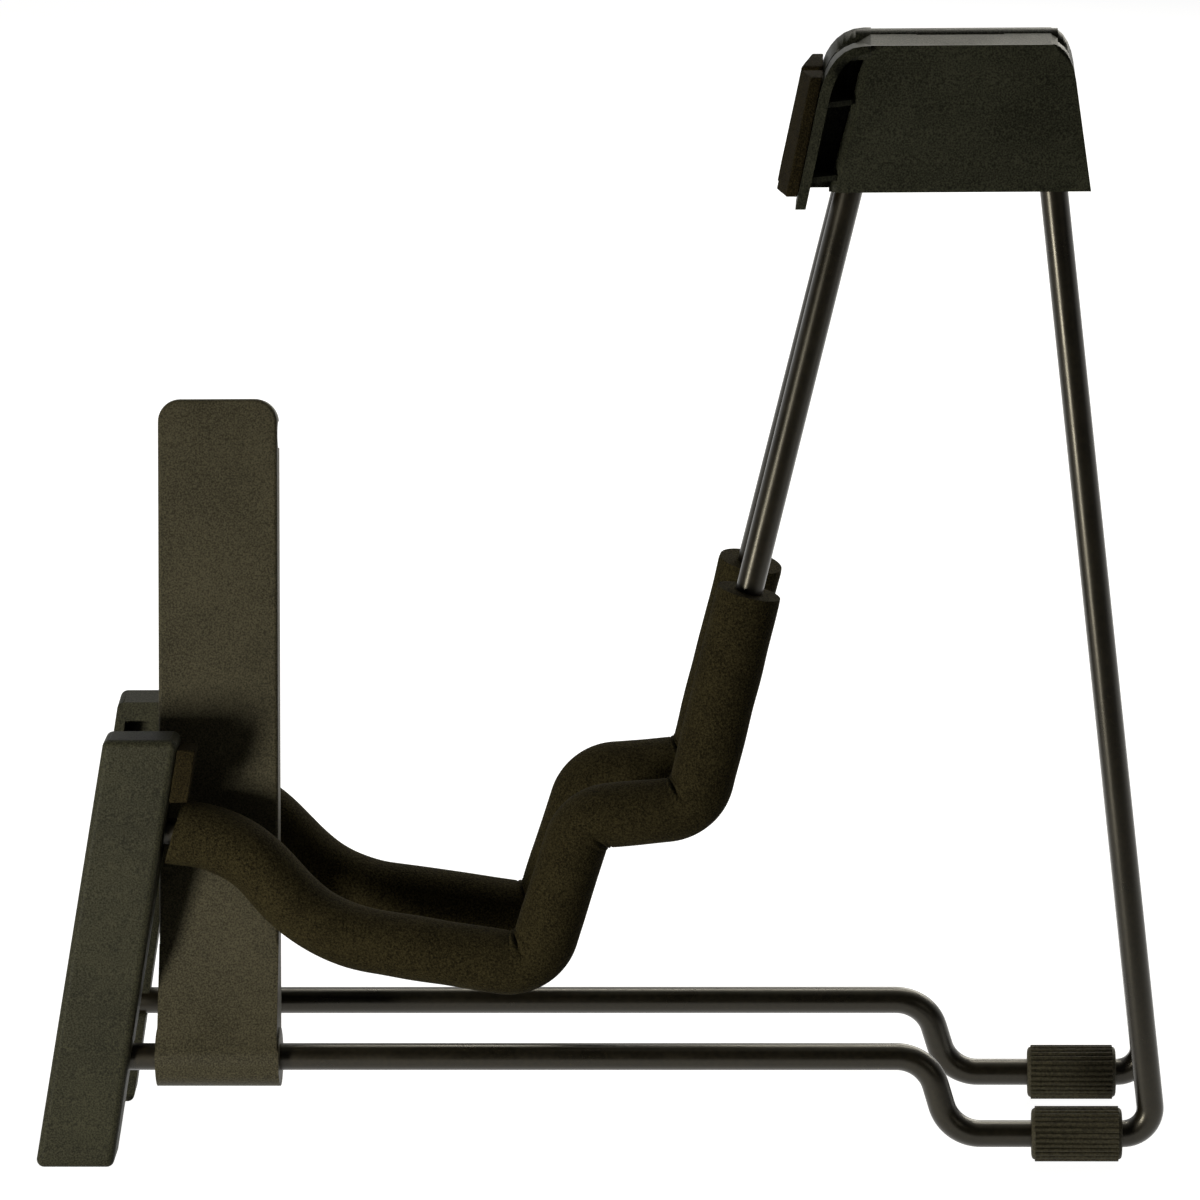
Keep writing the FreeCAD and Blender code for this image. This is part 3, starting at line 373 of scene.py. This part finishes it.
last = len(sleeve_line) - 1
sleeve_rows = [(0, SLEEVE_HOLE), (0, CUT_EDGE_DEEP), (0, CUT_EDGE_FINE)]
sleeve_rows += [(k, None) for k in range(1, last)]
sleeve_rows += [(last, CUT_EDGE_FINE), (last, CUT_EDGE_DEEP)]
sleeve_rows += [(k, SLEEVE_HOLE) for k in range(last, -1, -1)]
sleeve_rings = [sleeve_line[k] for k, fixed in sleeve_rows]
cut_place = sleeve_line[last][0]
for side in SIDES:

    def sleeve_radii(row, angle):
        """The foam's radius, a little uneven on the outside, and fixed in the hole and at the cut edges."""
        k, fixed = sleeve_rows[row]
        if fixed is not None:
            return fixed
        place = sleeve_line[k][0]
        around = math.sin(angle) * UNEVEN_AROUND + SIDES[side] * UNEVEN_SHIFT
        uneven = noise.noise(Vector((place.x * UNEVEN_ALONG, place.y * UNEVEN_ALONG, around))) * UNEVEN_DEPTH
        return SLEEVE_RADIUS - UNEVEN_MOST + min(uneven, UNEVEN_MOST) - crease(k, angle)

    mesh = swept_tube(side + "_sleeve", side, sleeve_rings, WIRE_OUT, sleeve_radii, SLEEVE_AROUND)
    for row, (k, fixed) in enumerate(sleeve_rows):
        share = max(0.0, 1 - (sleeve_line[k][0] - cut_place).length / CUT_FADE)
        for j in range(SLEEVE_AROUND):
            angle = 2 * math.pi * j / SLEEVE_AROUND
            slant = CUT_SLANT * share * math.cos(angle) * sleeve_radii(row, angle)
            mesh.vertices[row * SLEEVE_AROUND + j].co.x += slant
    sleeve = closed_piece(side + "_foam_sleeve", mesh, sleeve_foam, smooth_angle=50)
    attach(sleeve, side + "_frame")
    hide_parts(side + "_cradle_foam")

# Front legs: injection-moulded channels of charcoal plastic, pushed over the front of each wire from outside.
# The mould leaves a fine matte grain and softly rounded edges, and the lower end is cut flat for the floor.
charcoal, charcoal_shader = grained_finish(
    "charcoal moulded plastic",
    dark=(0.0098, 0.0098, 0.0059),
    light=(0.0395, 0.0388, 0.0243),
    grain_scale=2800,
    blotch_scale=75,
    rough=(0.5, 0.6),
    bump=0.22,
    depth=0.0002,
)
charcoal_shader.inputs["Specular IOR Level"].default_value = 0.07
LEG_EDGE = 0.0007
CAD_WELD = 2e-6
FLAT_ANGLE = math.radians(0.6)
CORNER_ANGLE = math.radians(30)
EDGE_ROOM = 4


def outer_corners(bm, shortest):
    """The edges longer than this that stand out from a closed mesh."""
    corners = []
    for e in bm.edges:
        if len(e.link_faces) == 2 and e.calc_length() > shortest:
            if e.calc_face_angle_signed(0) > CORNER_ANGLE:
                corners.append(e)
    return corners


def round_edges(bm, edges, radius, segments):
    """Rounds some edges of a mesh, without letting them run into each other."""
    bmesh.ops.bevel(
        bm,
        geom=edges,
        offset=radius,
        segments=segments,
        profile=0.5,
        affect="EDGES",
        clamp_overlap=True,
    )


def moulded_copy(name, node, edge, reshape=None):
    """A CAD solid as a moulding: its triangles joined into flat faces and its outer edges rounded."""
    bm = bmesh.new()
    bm.from_mesh(nodes[node].data)
    bmesh.ops.remove_doubles(bm, verts=bm.verts, dist=CAD_WELD)
    if reshape:
        reshape(bm)
    bmesh.ops.dissolve_limit(bm, angle_limit=FLAT_ANGLE, verts=bm.verts, edges=bm.edges)
    round_edges(bm, outer_corners(bm, EDGE_ROOM * edge), edge, segments=3)
    bmesh.ops.triangulate(bm, faces=[f for f in bm.faces if len(f.verts) > 4])
    mesh = bpy.data.meshes.new(name)
    bm.to_mesh(mesh)
    bm.free()
    return mesh


def moulded_piece(name, mesh, material):
    """Puts a moulding in the scene, its large flat faces kept flat in shade and only its edges soft."""
    piece = closed_piece(name, mesh, material, smooth_angle=35)
    weigh = piece.modifiers.new("weigh", "WEIGHTED_NORMAL")
    weigh.keep_sharp = True
    depsgraph = bpy.context.evaluated_depsgraph_get()
    seen = piece.evaluated_get(depsgraph)
    weighed = bpy.data.meshes.new_from_object(seen, preserve_all_data_layers=True, depsgraph=depsgraph)
    piece.modifiers.clear()
    piece.data = weighed
    return piece


for side in SIDES:
    leg_mesh = moulded_copy(side + "_leg", side + "_front_leg", LEG_EDGE)
    leg = moulded_piece(side + "_moulded_leg", leg_mesh, charcoal)
    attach(leg, side + "_frame")
    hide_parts(side + "_front_leg")

# Leg pads and head pads: die-cut blocks of firm dark foam, stuck to the moulding where the instrument leans.
# Their cut faces show open cells, and their edges are a little worn and crushed.
pad_foam = foam_finish(
    "brown-black pad foam",
    dark=(0.004, 0.003, 0.0013),
    light=(0.0262, 0.0205, 0.0088),
    cell_scale=3000,
    depth=0.0004,
)
PAD_FLAT_ANGLE = math.radians(1)
PAD_EDGE = 0.0004
PAD_MESH_SIZE = 0.0015
PAD_CUTS = 5
PAD_WEAR = 0.00006
PAD_WEAR_SCALE = 380


def foam_block(name, node):
    """A cut foam block on a CAD pad: soft edges, and faces that are never quite flat."""
    bm = bmesh.new()
    bm.from_mesh(nodes[node].data)
    bmesh.ops.remove_doubles(bm, verts=bm.verts, dist=CAD_WELD)
    bmesh.ops.dissolve_limit(bm, angle_limit=PAD_FLAT_ANGLE, verts=bm.verts, edges=bm.edges)
    round_edges(bm, bm.edges[:], PAD_EDGE, segments=3)
    bmesh.ops.triangulate(bm, faces=bm.faces[:])
    long_edges = [e for e in bm.edges if e.calc_length() > PAD_MESH_SIZE]
    bmesh.ops.subdivide_edges(bm, edges=long_edges, cuts=PAD_CUTS, use_grid_fill=True)
    bm.normal_update()
    for v in bm.verts:
        sink = PAD_WEAR + PAD_WEAR * noise.noise(v.co * PAD_WEAR_SCALE)
        v.co -= v.normal * sink
    mesh = bpy.data.meshes.new(name)
    bm.to_mesh(mesh)
    bm.free()
    return mesh


for side in SIDES:
    for spot in ("leg_pad", "head_pad"):
        node = side + "_" + spot
        block = closed_piece(node + "_foam", foam_block(node, node), pad_foam)
        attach(block, side + "_frame")
        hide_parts(node)

# Rear feet: moulded rubber sleeves on the lower corner of each wire, ribbed along their length for grip.
# Each end has a rounded shoulder, a little lower than the ribs.
FOOT_START = 0.09565
FOOT_LENGTH = 0.020
FOOT_RADIUS = 0.00615
FOOT_CORE = FOOT_RADIUS - 0.0006
FOOT_BAND = FOOT_RADIUS - 0.0004
FOOT_HOLE = WIRE_RADIUS + 0.00003
FOOT_DROP = 243.184
FOOT_AROUND = 72
FOOT_RIM = [
    (FOOT_HOLE, 0), (FOOT_BAND - 0.0010, 0), (FOOT_BAND - 0.0005, 0.00012),
    (FOOT_BAND - 0.0002, 0.00035), (FOOT_BAND, 0.0008), (FOOT_CORE, 0.0011),
]
RIB_SIZES = {
    "Rib Count": 30,
    "Rib Circle": FOOT_CORE + 0.00018,
    "Rib Radius": 0.00042,
    "Rib Length": FOOT_LENGTH - 0.0016,
}
rubber, rubber_shader = grained_finish(
    "black foot rubber",
    dark=(0.0225, 0.0202, 0.0112),
    light=(0.0585, 0.0518, 0.0310),
    grain_scale=1800,
    blotch_scale=120,
    rough=(0.6, 0.78),
    bump=0.3,
    depth=0.0002,
)
rubber_shader.inputs["Specular IOR Level"].default_value = 0.2


def rib_tree():
    """Ribs set round a sleeve and joined to it."""
    tree = bpy.data.node_groups.new("foot ribs", "GeometryNodeTree")
    face = tree.interface
    face.new_socket("Geometry", in_out="INPUT", socket_type="NodeSocketGeometry")
    face.new_socket("Rib Count", in_out="INPUT", socket_type="NodeSocketInt").default_value = 20
    for name, value in (("Rib Circle", 0.005), ("Rib Radius", 0.0005), ("Rib Length", 0.016)):
        face.new_socket(name, in_out="INPUT", socket_type="NodeSocketFloat").default_value = value
    face.new_socket("Finish", in_out="INPUT", socket_type="NodeSocketMaterial")
    face.new_socket("Geometry", in_out="OUTPUT", socket_type="NodeSocketGeometry")
    ins = tree.nodes.new("NodeGroupInput")
    outs = tree.nodes.new("NodeGroupOutput")
    link = tree.links.new
    ring = tree.nodes.new("GeometryNodeMeshCircle")
    link(ins.outputs["Rib Count"], ring.inputs["Vertices"])
    link(ins.outputs["Rib Circle"], ring.inputs["Radius"])
    rib = tree.nodes.new("GeometryNodeMeshCylinder")
    rib.inputs["Vertices"].default_value = 12
    link(ins.outputs["Rib Radius"], rib.inputs["Radius"])
    link(ins.outputs["Rib Length"], rib.inputs["Depth"])
    spread = tree.nodes.new("GeometryNodeInstanceOnPoints")
    link(ring.outputs["Mesh"], spread.inputs["Points"])
    link(rib.outputs["Mesh"], spread.inputs["Instance"])
    real = tree.nodes.new("GeometryNodeRealizeInstances")
    link(spread.outputs["Instances"], real.inputs["Geometry"])
    joined = tree.nodes.new("GeometryNodeJoinGeometry")
    link(ins.outputs["Geometry"], joined.inputs["Geometry"])
    link(real.outputs["Geometry"], joined.inputs["Geometry"])
    dressed = tree.nodes.new("GeometryNodeSetMaterial")
    link(joined.outputs["Geometry"], dressed.inputs["Geometry"])
    link(ins.outputs["Finish"], dressed.inputs["Material"])
    link(dressed.outputs["Geometry"], outs.inputs["Geometry"])
    return tree


RIBS = rib_tree()


def turned_ring(name, profile, around):
    """A closed ring turned about Z from a profile of (radius, height) points."""
    vertices, faces = [], []
    for j in range(around):
        angle = 2 * math.pi * j / around
        for radius, height in profile:
            vertices.append((radius * math.cos(angle), radius * math.sin(angle), height))
    count = len(profile)
    for j in range(around):
        n = (j + 1) % around
        for k in range(count):
            m = (k + 1) % count
            faces.append((j * count + k, n * count + k, n * count + m, j * count + m))
    mesh = bpy.data.meshes.new(name)
    mesh.from_pydata(vertices, [], faces)
    return mesh


half = FOOT_LENGTH / 2
foot_profile = [(radius, depth - half) for radius, depth in FOOT_RIM]
foot_profile += [(radius, half - depth) for radius, depth in reversed(FOOT_RIM)]
for side in SIDES:
    core_mesh = turned_ring(side + "_foot", foot_profile, FOOT_AROUND)
    base = closed_piece(side + "_foot_core", core_mesh, rubber, smooth_angle=30)
    ribs = base.modifiers.new("ribs", "NODES")
    ribs.node_group = RIBS
    for item in RIBS.interface.items_tree:
        if item.in_out == "INPUT" and item.name in RIB_SIZES:
            ribs[item.identifier] = RIB_SIZES[item.name]
        if item.in_out == "INPUT" and item.name == "Finish":
            ribs[item.identifier] = rubber
    seen = base.evaluated_get(bpy.context.evaluated_depsgraph_get())
    mesh = bpy.data.meshes.new_from_object(seen)
    bpy.data.objects.remove(base)
    middle = on_frame(side, 0, FOOT_DROP / MM_PER_M, WIRE_OUT)
    middle.x = FOOT_START + half
    mesh.transform(Matrix.Translation(middle) @ Matrix.Rotation(math.radians(90), 4, "Y"))
    mesh.set_sharp_from_angle(angle=math.radians(35))
    foot = bpy.data.objects.new(side + "_ribbed_foot", mesh)
    bpy.context.scene.collection.objects.link(foot)
    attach(foot, side + "_frame")
    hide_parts(side + "_rear_foot")

# Head shells: the two moulded halves that close over the wire ends, hinged to each other along the top.
# The front flange carries the head pad on webs, and the plastic is a little smoother than that of the legs.
# A shoulder on each half rises to the knuckles: close to its own, and with a gap around the other half's.
head_plastic, head_shader = grained_finish(
    "charcoal head plastic",
    dark=(0.0088, 0.0092, 0.0058),
    light=(0.0380, 0.0396, 0.0262),
    grain_scale=2800,
    blotch_scale=75,
    rough=(0.44, 0.54),
    bump=0.2,
    depth=0.0002,
)
head_shader.inputs["Specular IOR Level"].default_value = 0.09
HEAD_EDGE = 0.0005
PANEL_OUT = 0.0094
PANEL_SLACK = 0.00005
FLANGE_TOP = 0.0025
FLANGE_FADE = 0.009
FLANGE_LEAST = 0.06
KNUCKLE_REACH = 0.0026
KNUCKLE_ENDS = ((0.07075, -1), (0.08915, 1))
KNUCKLE_SLACK = 3e-5
KNUCKLE_GROW = 0.0001
SHOULDER_OUT = 0.0088
SHOULDER_RIM = 0.00018
SHOULDER_SUNK = 0.0003
SHOULDER_STEPS = 4
SHOULDER_EDGE = 0.0002
SHOULDER_LONG = 0.002
OWN = (0.0024, 0.0016)
OTHER = (0.0028, 0.0015)
SPANS = {"right": (OWN, OTHER, 0.0706, 0.0893), "left": (OTHER, OWN, 0.0708, 0.0891)}


def shoulder_rings(side):
    """Rings along a shoulder: place, radius and rise by the knuckle, and how far the top and the rim sink."""
    outer, inner, front, rear = SPANS[side]
    return [
        (0.0579, outer, -0.0014, -0.0012), (0.0608, outer, 0, 0), (front, outer, 0, 0), (front, inner, 0, 0),
        (rear, inner, 0, 0), (rear, outer, 0, 0), (0.0992, outer, 0, 0), (0.1006, outer, -0.0008, -0.0005),
    ]


def add_shoulder(mesh, side):
    """Adds the closed slope on top of one half, from the panel's rim up to the knuckles."""
    bm = bmesh.new()
    loops = []
    for x, (radius, rise), sink_top, sink_rim in shoulder_rings(side):
        top = rise + sink_top
        points = [(SHOULDER_OUT, -SHOULDER_SUNK + sink_rim), (SHOULDER_OUT, SHOULDER_RIM + sink_rim)]
        for k in range(SHOULDER_STEPS + 1):
            up = top + (-SHOULDER_SUNK + sink_rim - top) * k / SHOULDER_STEPS
            points.append((math.sqrt(radius ** 2 - up ** 2), up))
        loops.append([bm.verts.new(on_frame(side, x, -up, out)) for out, up in points])
    for a, b in zip(loops, loops[1:]):
        for k in range(len(a)):
            n = (k + 1) % len(a)
            bm.faces.new((a[k], a[n], b[n], b[k]))
    bm.faces.new(loops[0])
    bm.faces.new(reversed(loops[-1]))
    bmesh.ops.remove_doubles(bm, verts=bm.verts, dist=CAD_WELD)
    bmesh.ops.recalc_face_normals(bm, faces=bm.faces)
    round_edges(bm, outer_corners(bm, SHOULDER_LONG), SHOULDER_EDGE, segments=2)
    bmesh.ops.triangulate(bm, faces=bm.faces)
    bm.from_mesh(mesh)
    bm.to_mesh(mesh)
    bm.free()


for side in SIDES:

    def thin_flange(bm):
        """Lets the flange sink into the panel at its top, and the knuckles meet without a slit of light."""
        for v in bm.verts:
            y, z = SIDES[side] * v.co.y, v.co.z - HINGE_HEIGHT
            out = y * math.cos(FRAME_LEAN) + z * math.sin(FRAME_LEAN)
            drop = y * math.sin(FRAME_LEAN) - z * math.cos(FRAME_LEAN)
            if out > PANEL_OUT + PANEL_SLACK:
                share = min(1.0, max(FLANGE_LEAST, (drop + FLANGE_TOP) / FLANGE_FADE))
                v.co = on_frame(side, v.co.x, drop, PANEL_OUT + (out - PANEL_OUT) * share)
            if side == "left" and math.hypot(out, drop) < KNUCKLE_REACH:
                for end, way in KNUCKLE_ENDS:
                    if abs(v.co.x - end) < KNUCKLE_SLACK:
                        v.co.x += way * KNUCKLE_GROW

    head_mesh = moulded_copy(side + "_head", side + "_head_shell", HEAD_EDGE, thin_flange)
    add_shoulder(head_mesh, side)
    shell = moulded_piece(side + "_moulded_head", head_mesh, head_plastic)
    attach(shell, side + "_frame")
    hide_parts(side + "_head_shell")

# Inside the head: a flat keeper over each wire, its screws, and the steel pin that the halves turn on.
# The keepers are the same moulding as the shells; the pin and screws are plain turned steel.
turned_steel, steel_shader = grained_finish(
    "turned steel",
    dark=(0.30, 0.30, 0.31),
    light=(0.46, 0.46, 0.47),
    grain_scale=3000,
    blotch_scale=200,
    rough=(0.25, 0.4),
    bump=0.1,
    depth=0.0001,
)
steel_shader.inputs["Metallic"].default_value = 1.0
INNER_FINISHES = {
    "right_wire_keeper": head_plastic,
    "left_wire_keeper": head_plastic,
    "right_keeper_screws": turned_steel,
    "left_keeper_screws": turned_steel,
    "hinge_pin": turned_steel,
}
for node, finish in INNER_FINISHES.items():
    nodes[node].data.materials.clear()
    nodes[node].data.materials.append(finish)

# Spreader plate: a long moulded plate on the right frame's lower wire, ribbed behind and hooked at its end.
# It folds up between the cradles, and holds the two frames apart when the stand is in use.
plate_plastic, plate_shader = grained_finish(
    "charcoal plate plastic",
    dark=(0.0195, 0.0174, 0.0101),
    light=(0.064, 0.0572, 0.0350),
    grain_scale=2700,
    blotch_scale=60,
    rough=(0.48, 0.58),
    bump=0.2,
    depth=0.0002,
)
plate_shader.inputs["Specular IOR Level"].default_value = 0.1
PLATE_EDGE = 0.0006
plate = moulded_piece("moulded_plate", moulded_copy("plate", "spreader_plate", PLATE_EDGE), plate_plastic)
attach(plate, "spreader")
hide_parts("spreader_plate")

# Studio: a pale floor, a soft key light low on the left, a weak one on the right, one above and two behind.
# Floor and world show white to the camera. Mirrors see them bright behind the stand and dim in front of it.
# To all other light they are a grey sheet and a faint glow, so the stand keeps its shadow and its dark side.
FLOOR_CORNERS = [(-6, -4, 0), (6, -4, 0), (6, 8, 0), (-6, 8, 0)]
FLOOR_SINK = 0.0002
FLOOR_WHITE = 0.95
floor_mesh = bpy.data.meshes.new("floor")
floor_mesh.from_pydata(FLOOR_CORNERS, [], [(0, 1, 2, 3)])
floor = bpy.data.objects.new("floor", floor_mesh)
floor.location.z = -FLOOR_SINK
bpy.context.scene.collection.objects.link(floor)


def math_node(tree, operation, first, second):
    """One sum on two values, each a socket or a number."""
    node = tree.nodes.new("ShaderNodeMath")
    node.operation = operation
    for socket, value in zip(node.inputs, (first, second)):
        if isinstance(value, (int, float)):
            socket.default_value = value
        else:
            tree.links.new(value, socket)
    return node.outputs[0]


def ray_choice(tree, plain, bright):
    """Shows the bright shader to the camera and to mirrors, and the plain one to other light."""
    rays = tree.nodes.new("ShaderNodeLightPath")
    seen_by = math_node(tree, "MAXIMUM", rays.outputs["Is Camera Ray"], rays.outputs["Is Transmission Ray"])
    choice = tree.nodes.new("ShaderNodeMixShader")
    seen_or_mirrored = math_node(tree, "MAXIMUM", seen_by, rays.outputs["Is Glossy Ray"])
    tree.links.new(seen_or_mirrored, choice.inputs["Fac"])
    tree.links.new(plain.outputs[0], choice.inputs[1])
    tree.links.new(bright.outputs[0], choice.inputs[2])
    return choice, seen_by


def rise_along_y(tree, coordinates, start, end, low, high):
    """A value that rises from low to high between two places along Y."""
    place = tree.nodes.new("ShaderNodeTexCoord")
    split = tree.nodes.new("ShaderNodeSeparateXYZ")
    tree.links.new(place.outputs[coordinates], split.inputs[0])
    rise = tree.nodes.new("ShaderNodeMapRange")
    rise.inputs["From Min"].default_value = start
    rise.inputs["From Max"].default_value = end
    rise.inputs["To Min"].default_value = low
    rise.inputs["To Max"].default_value = high
    tree.links.new(split.outputs["Y"], rise.inputs["Value"])
    return rise.outputs["Result"]


paper = bpy.data.materials.new("pale paper")
paper.use_nodes = True
tree = paper.node_tree
tree.nodes.clear()
sheet = tree.nodes.new("ShaderNodeBsdfDiffuse")
sheet.inputs["Color"].default_value = (0.6, 0.6, 0.58, 1)
glow = tree.nodes.new("ShaderNodeEmission")
faint = tree.nodes.new("ShaderNodeBsdfDiffuse")
faint.inputs["Color"].default_value = (0.4, 0.4, 0.4, 1)
lit = tree.nodes.new("ShaderNodeAddShader")
tree.links.new(glow.outputs[0], lit.inputs[0])
tree.links.new(faint.outputs[0], lit.inputs[1])
choice, seen_by = ray_choice(tree, sheet, lit)
lit_part = rise_along_y(tree, "Object", start=-0.35, end=-0.08, low=0.1, high=FLOOR_WHITE)
plain_white = math_node(tree, "MULTIPLY", seen_by, FLOOR_WHITE)
tree.links.new(math_node(tree, "MAXIMUM", lit_part, plain_white), glow.inputs["Strength"])
surface = tree.nodes.new("ShaderNodeOutputMaterial")
tree.links.new(choice.outputs[0], surface.inputs["Surface"])
floor_mesh.materials.append(paper)

world = bpy.data.worlds.new("studio")
world.use_nodes = True
bpy.context.scene.world = world
tree = world.node_tree
tree.nodes.clear()
soft = tree.nodes.new("ShaderNodeBackground")
soft.inputs["Color"].default_value = (1, 0.98, 0.94, 1)
soft.inputs["Strength"].default_value = 0.02
white = tree.nodes.new("ShaderNodeBackground")
choice, seen_by = ray_choice(tree, soft, white)
backdrop = rise_along_y(tree, "Generated", start=-0.15, end=0.55, low=0.06, high=1.0)
tree.links.new(math_node(tree, "MAXIMUM", backdrop, seen_by), white.inputs["Strength"])
sky = tree.nodes.new("ShaderNodeOutputWorld")
tree.links.new(choice.outputs[0], sky.inputs["Surface"])


def softbox(name, place, target, wide, high, watts):
    """A soft rectangular lamp at a place, facing a target."""
    lamp = bpy.data.lights.new(name, "AREA")
    lamp.shape = "RECTANGLE"
    lamp.size = wide
    lamp.size_y = high
    lamp.energy = watts
    lamp.color = (1, 0.96, 0.84)
    box = bpy.data.objects.new(name, lamp)
    bpy.context.scene.collection.objects.link(box)
    box.location = place
    box.rotation_euler = (Vector(target) - Vector(place)).to_track_quat("-Z", "Y").to_euler()


KEY_STRIP = {"wide": 0.09, "high": 0.13, "watts": 2.3}
RIGHT_STRIP = {"wide": 0.35, "high": 0.35, "watts": 0.3}
OVERHEAD_PANEL = {"wide": 0.9, "high": 0.9, "watts": 0.8}
BACK_STRIP = {"wide": 0.5, "high": 0.12, "watts": 2.0}
BACK_PANEL = {"wide": 0.8, "high": 0.5, "watts": 6.0}
softbox("key strip", (-0.33, -0.38, 0.07), (-0.02, 0, 0.09), **KEY_STRIP)
softbox("right strip", (0.75, -0.70, 0.45), (0.05, 0, 0.13), **RIGHT_STRIP)
softbox("overhead panel", (0.10, 0.10, 1.20), (0, 0, 0.10), **OVERHEAD_PANEL)
softbox("back strip", (0.10, 0.42, 0.62), (0.06, 0, 0.2), **BACK_STRIP)
softbox("back panel", (0.45, 1.0, 0.5), (0, 0, 0.12), **BACK_PANEL)

# Camera: a long lens in front of the stand, a little above it and turned slightly to the left.
# Its place, its turns and its focal length in pixels come from points of the stand in the photograph.
PITCH = math.radians(16.39)
YAW = math.radians(-2.51)
ROLL = math.radians(-0.87)
CAMERA_PLACE = (0.0609, -1.3667, 0.5263)
FOCAL_PIXELS = 6485
PICTURE_PIXELS = 1200
SENSOR_WIDTH = 36
forward = Vector((math.sin(YAW) * math.cos(PITCH), math.cos(YAW) * math.cos(PITCH), -math.sin(PITCH)))
level = Vector((math.cos(YAW), -math.sin(YAW), 0))
upright = level.cross(forward)
to_right = level * math.cos(ROLL) + upright * math.sin(ROLL)
to_top = upright * math.cos(ROLL) - level * math.sin(ROLL)
lens = bpy.data.cameras.new("camera")
lens.sensor_fit = "HORIZONTAL"
lens.sensor_width = SENSOR_WIDTH
lens.lens = SENSOR_WIDTH * FOCAL_PIXELS / PICTURE_PIXELS
camera = bpy.data.objects.new("camera", lens)
bpy.context.scene.collection.objects.link(camera)
turn = Matrix((to_right, to_top, -forward)).transposed().to_4x4()
camera.matrix_world = Matrix.Translation(CAMERA_PLACE) @ turn
bpy.context.scene.camera = camera
bpy.context.scene.view_settings.view_transform = "Standard"
